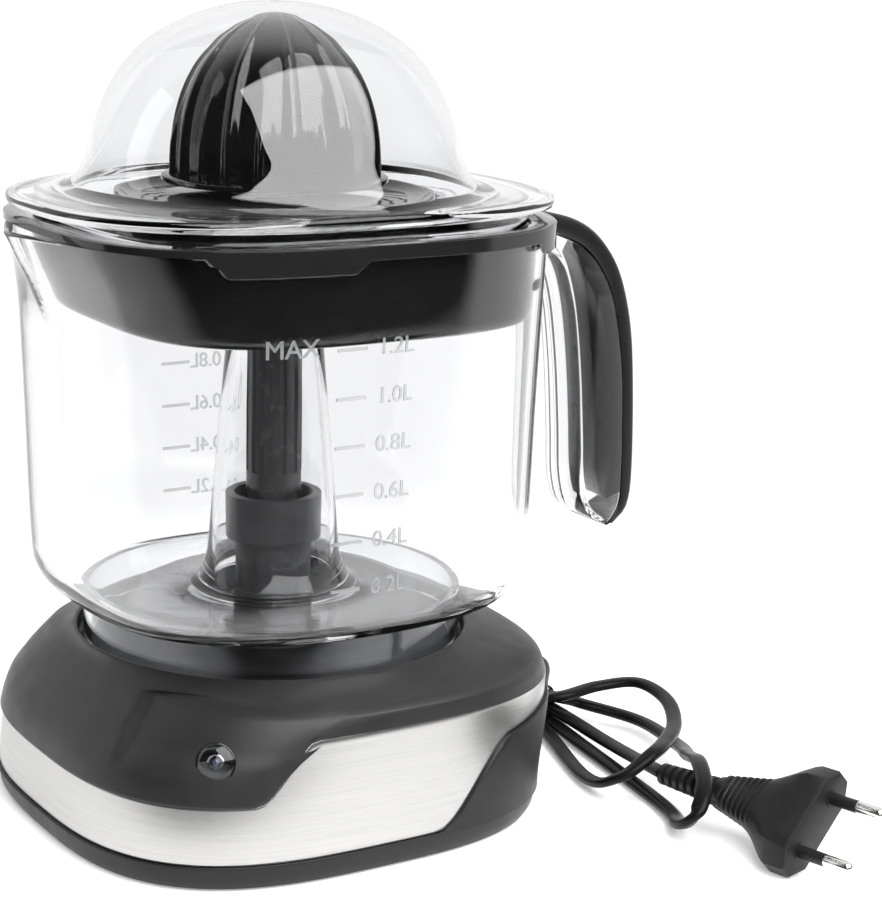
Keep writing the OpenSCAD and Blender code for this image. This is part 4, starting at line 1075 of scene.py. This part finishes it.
def add_relief():
    profile = [(3.6, -16), (3.8, -3.2), (5, -3), (5, 2.8), (6, 2.9), (6, 4.0), (5.6, 4.3), (4.8, 4.5)]
    for k in range(5):
        x = 6.4 + 4.4 * k
        r = 4.7 - 0.25 * k
        profile += [(r, x), (r * 0.76, x + 0.3), (r * 0.76, x + 1.5), (r - 0.05, x + 1.8)]
    profile += [(3.4, 29.6), (2.9, RELIEF_LEN)]
    relief = revolve("relief_sleeve", profile, count=40)
    outward = Matrix.Rotation(EXIT_DIR, 4, "Z") @ Matrix.Translation(Vector((EXIT_R, 0, EXIT_Z)) * MM)
    finish_piece(place(relief, outward @ ALONG_X), "base", cord_black, "relief_rubber", "cord_relief")


def add_tie():
    """A flat tie round the hank."""
    centre = Vector((107.5, 9.0, 6.6))
    half_wide, half_thick = 1.3, 0.45
    rings = []
    for t in turns(40):
        x, z = rounded_square(6.9, 5.7, 4, 0, t)
        spoke = Vector((x, 0, z))
        out = spoke.normalized()
        rings.append([tuple(centre + spoke + out * (half_thick * math.sin(a))
                            + Vector((0, half_wide * math.cos(a), 0))) for a in turns(10)])
    finish_piece(skin("tie_loop", rings, angle=60, loop=True), "base", cord_black, "cord_black", "cord_tie")


plug_pieces = add_plug()
add_relief()
add_tie()


# ---------------------------------------------------------------- floor and light

# The second tone is painted shade: a dark sheet on the floor in front of the press, for the steel and the casing
# to reflect
FLOOR_TONE, PAINTED_SHADE_TONE = (0.9, 0.9, 0.9), (0.02, 0.02, 0.02)
# Where the pale sheet starts, along the view, in metres from the shaft's axis
SHEET_START = (-0.24, -0.125)
# Distance from the shaft over which the floor turns as bright as the backdrop
FAR_SPAN = (0.14, 0.42)


def add_stage():
    """A pale floor that turns into a dark sheet in front of the press, where the room is dark: painted shade for
    the steel and the casing to reflect.
    """
    half = 15.0
    mesh = bpy.data.meshes.new("floor")
    mesh.from_pydata([(-half, -half, 0), (half, -half, 0), (half, half, 0), (-half, half, 0)], [],
                     [(0, 1, 2, 3)])
    floor = add_object("floor", mesh)
    shader = Shader("floor_white_and_painted_shade", FLOOR_TONE, 0.6)
    shader.bsdf.inputs["Specular IOR Level"].default_value = 0.1

    def blend(share, one, other):
        """A colour between one, which may be a link, and other."""
        node = shader.node("ShaderNodeMix")
        node.data_type = "RGBA"
        shader.link(share, node.inputs[0])
        if isinstance(one, tuple):
            node.inputs[6].default_value = (*one, 1)
        else:
            shader.link(one, node.inputs[6])
        node.inputs[7].default_value = (*other, 1)
        return node.outputs[2]

    where = shader.node("ShaderNodeTexCoord").outputs["Object"]
    # sheet is 0 on the dark painted shade sheet towards the camera and 1 on the pale floor; the painted shade
    # sheet gets no glow
    sheet = map_range(shader.tree, along_view(shader.tree, where), SHEET_START, (0, 1), smooth=True)
    # Away from the press the sheet is as bright as the backdrop, whatever lights it
    reach = shader.node("ShaderNodeVectorMath")
    reach.operation = "LENGTH"
    shader.link(where, reach.inputs[0])
    far = map_range(shader.tree, reach.outputs["Value"], FAR_SPAN, (0, 1), smooth=True)
    glow = shader.node("ShaderNodeMath")
    glow.operation = "MULTIPLY"
    shader.link(sheet, glow.inputs[0])
    shader.link(map_range(shader.tree, far, (0, 1), (0.3, 1.03)), glow.inputs[1])
    shader.bsdf.inputs["Emission Color"].default_value = (1, 1, 1, 1)
    shader.link(glow.outputs["Value"], shader.bsdf.inputs["Emission Strength"])
    tone = blend(far, blend(sheet, PAINTED_SHADE_TONE, FLOOR_TONE), (0, 0, 0))
    shader.link(tone, shader.bsdf.inputs["Base Color"])
    paint(floor, shader.material)


def add_softbox(name, direction, distance, size, radiance):
    """An area light seen from the press in a direction given in the camera's own axes."""
    turn = camera.rotation_quaternion
    target = Vector((0, 0, 0.15))
    away = turn @ Vector(direction).normalized()
    data = bpy.data.lights.new(name, "AREA")
    data.shape = "RECTANGLE"
    data.size, data.size_y = size
    data.energy = radiance * math.pi * size[0] * size[1]
    light = add_object(name, data)
    light.location = target + away * distance
    light.rotation_mode = "QUATERNION"
    light.rotation_quaternion = (-away).to_track_quat("-Z", "Y")


def add_light():
    world = bpy.data.worlds.new("studio")
    scene.world = world
    world.use_nodes = True
    tree = world.node_tree
    # White backdrop behind the press, dark room behind the camera
    where = tree.nodes.new("ShaderNodeTexCoord").outputs["Generated"]
    strength = map_range(tree, along_view(tree, where), (-0.25, 0.45), (0.06, 1.02), smooth=True)
    background = tree.nodes["Background"]
    tree.links.new(strength, background.inputs["Strength"])
    background.inputs["Color"].default_value = (1, 1, 1, 1)
    add_softbox("key", (0.38, 0.5, 0.66), 1.1, (1.4, 1.3), 6.2)
    add_softbox("side", (-0.93, 0.3, 0.1), 1.1, (0.3, 0.9), 1.4)
    scene.view_settings.view_transform = "Standard"
    scene.cycles.max_bounces = 18
    scene.cycles.transmission_bounces = 18
    scene.cycles.transparent_max_bounces = 18
    scene.cycles.use_denoising = True


add_stage()
add_light()
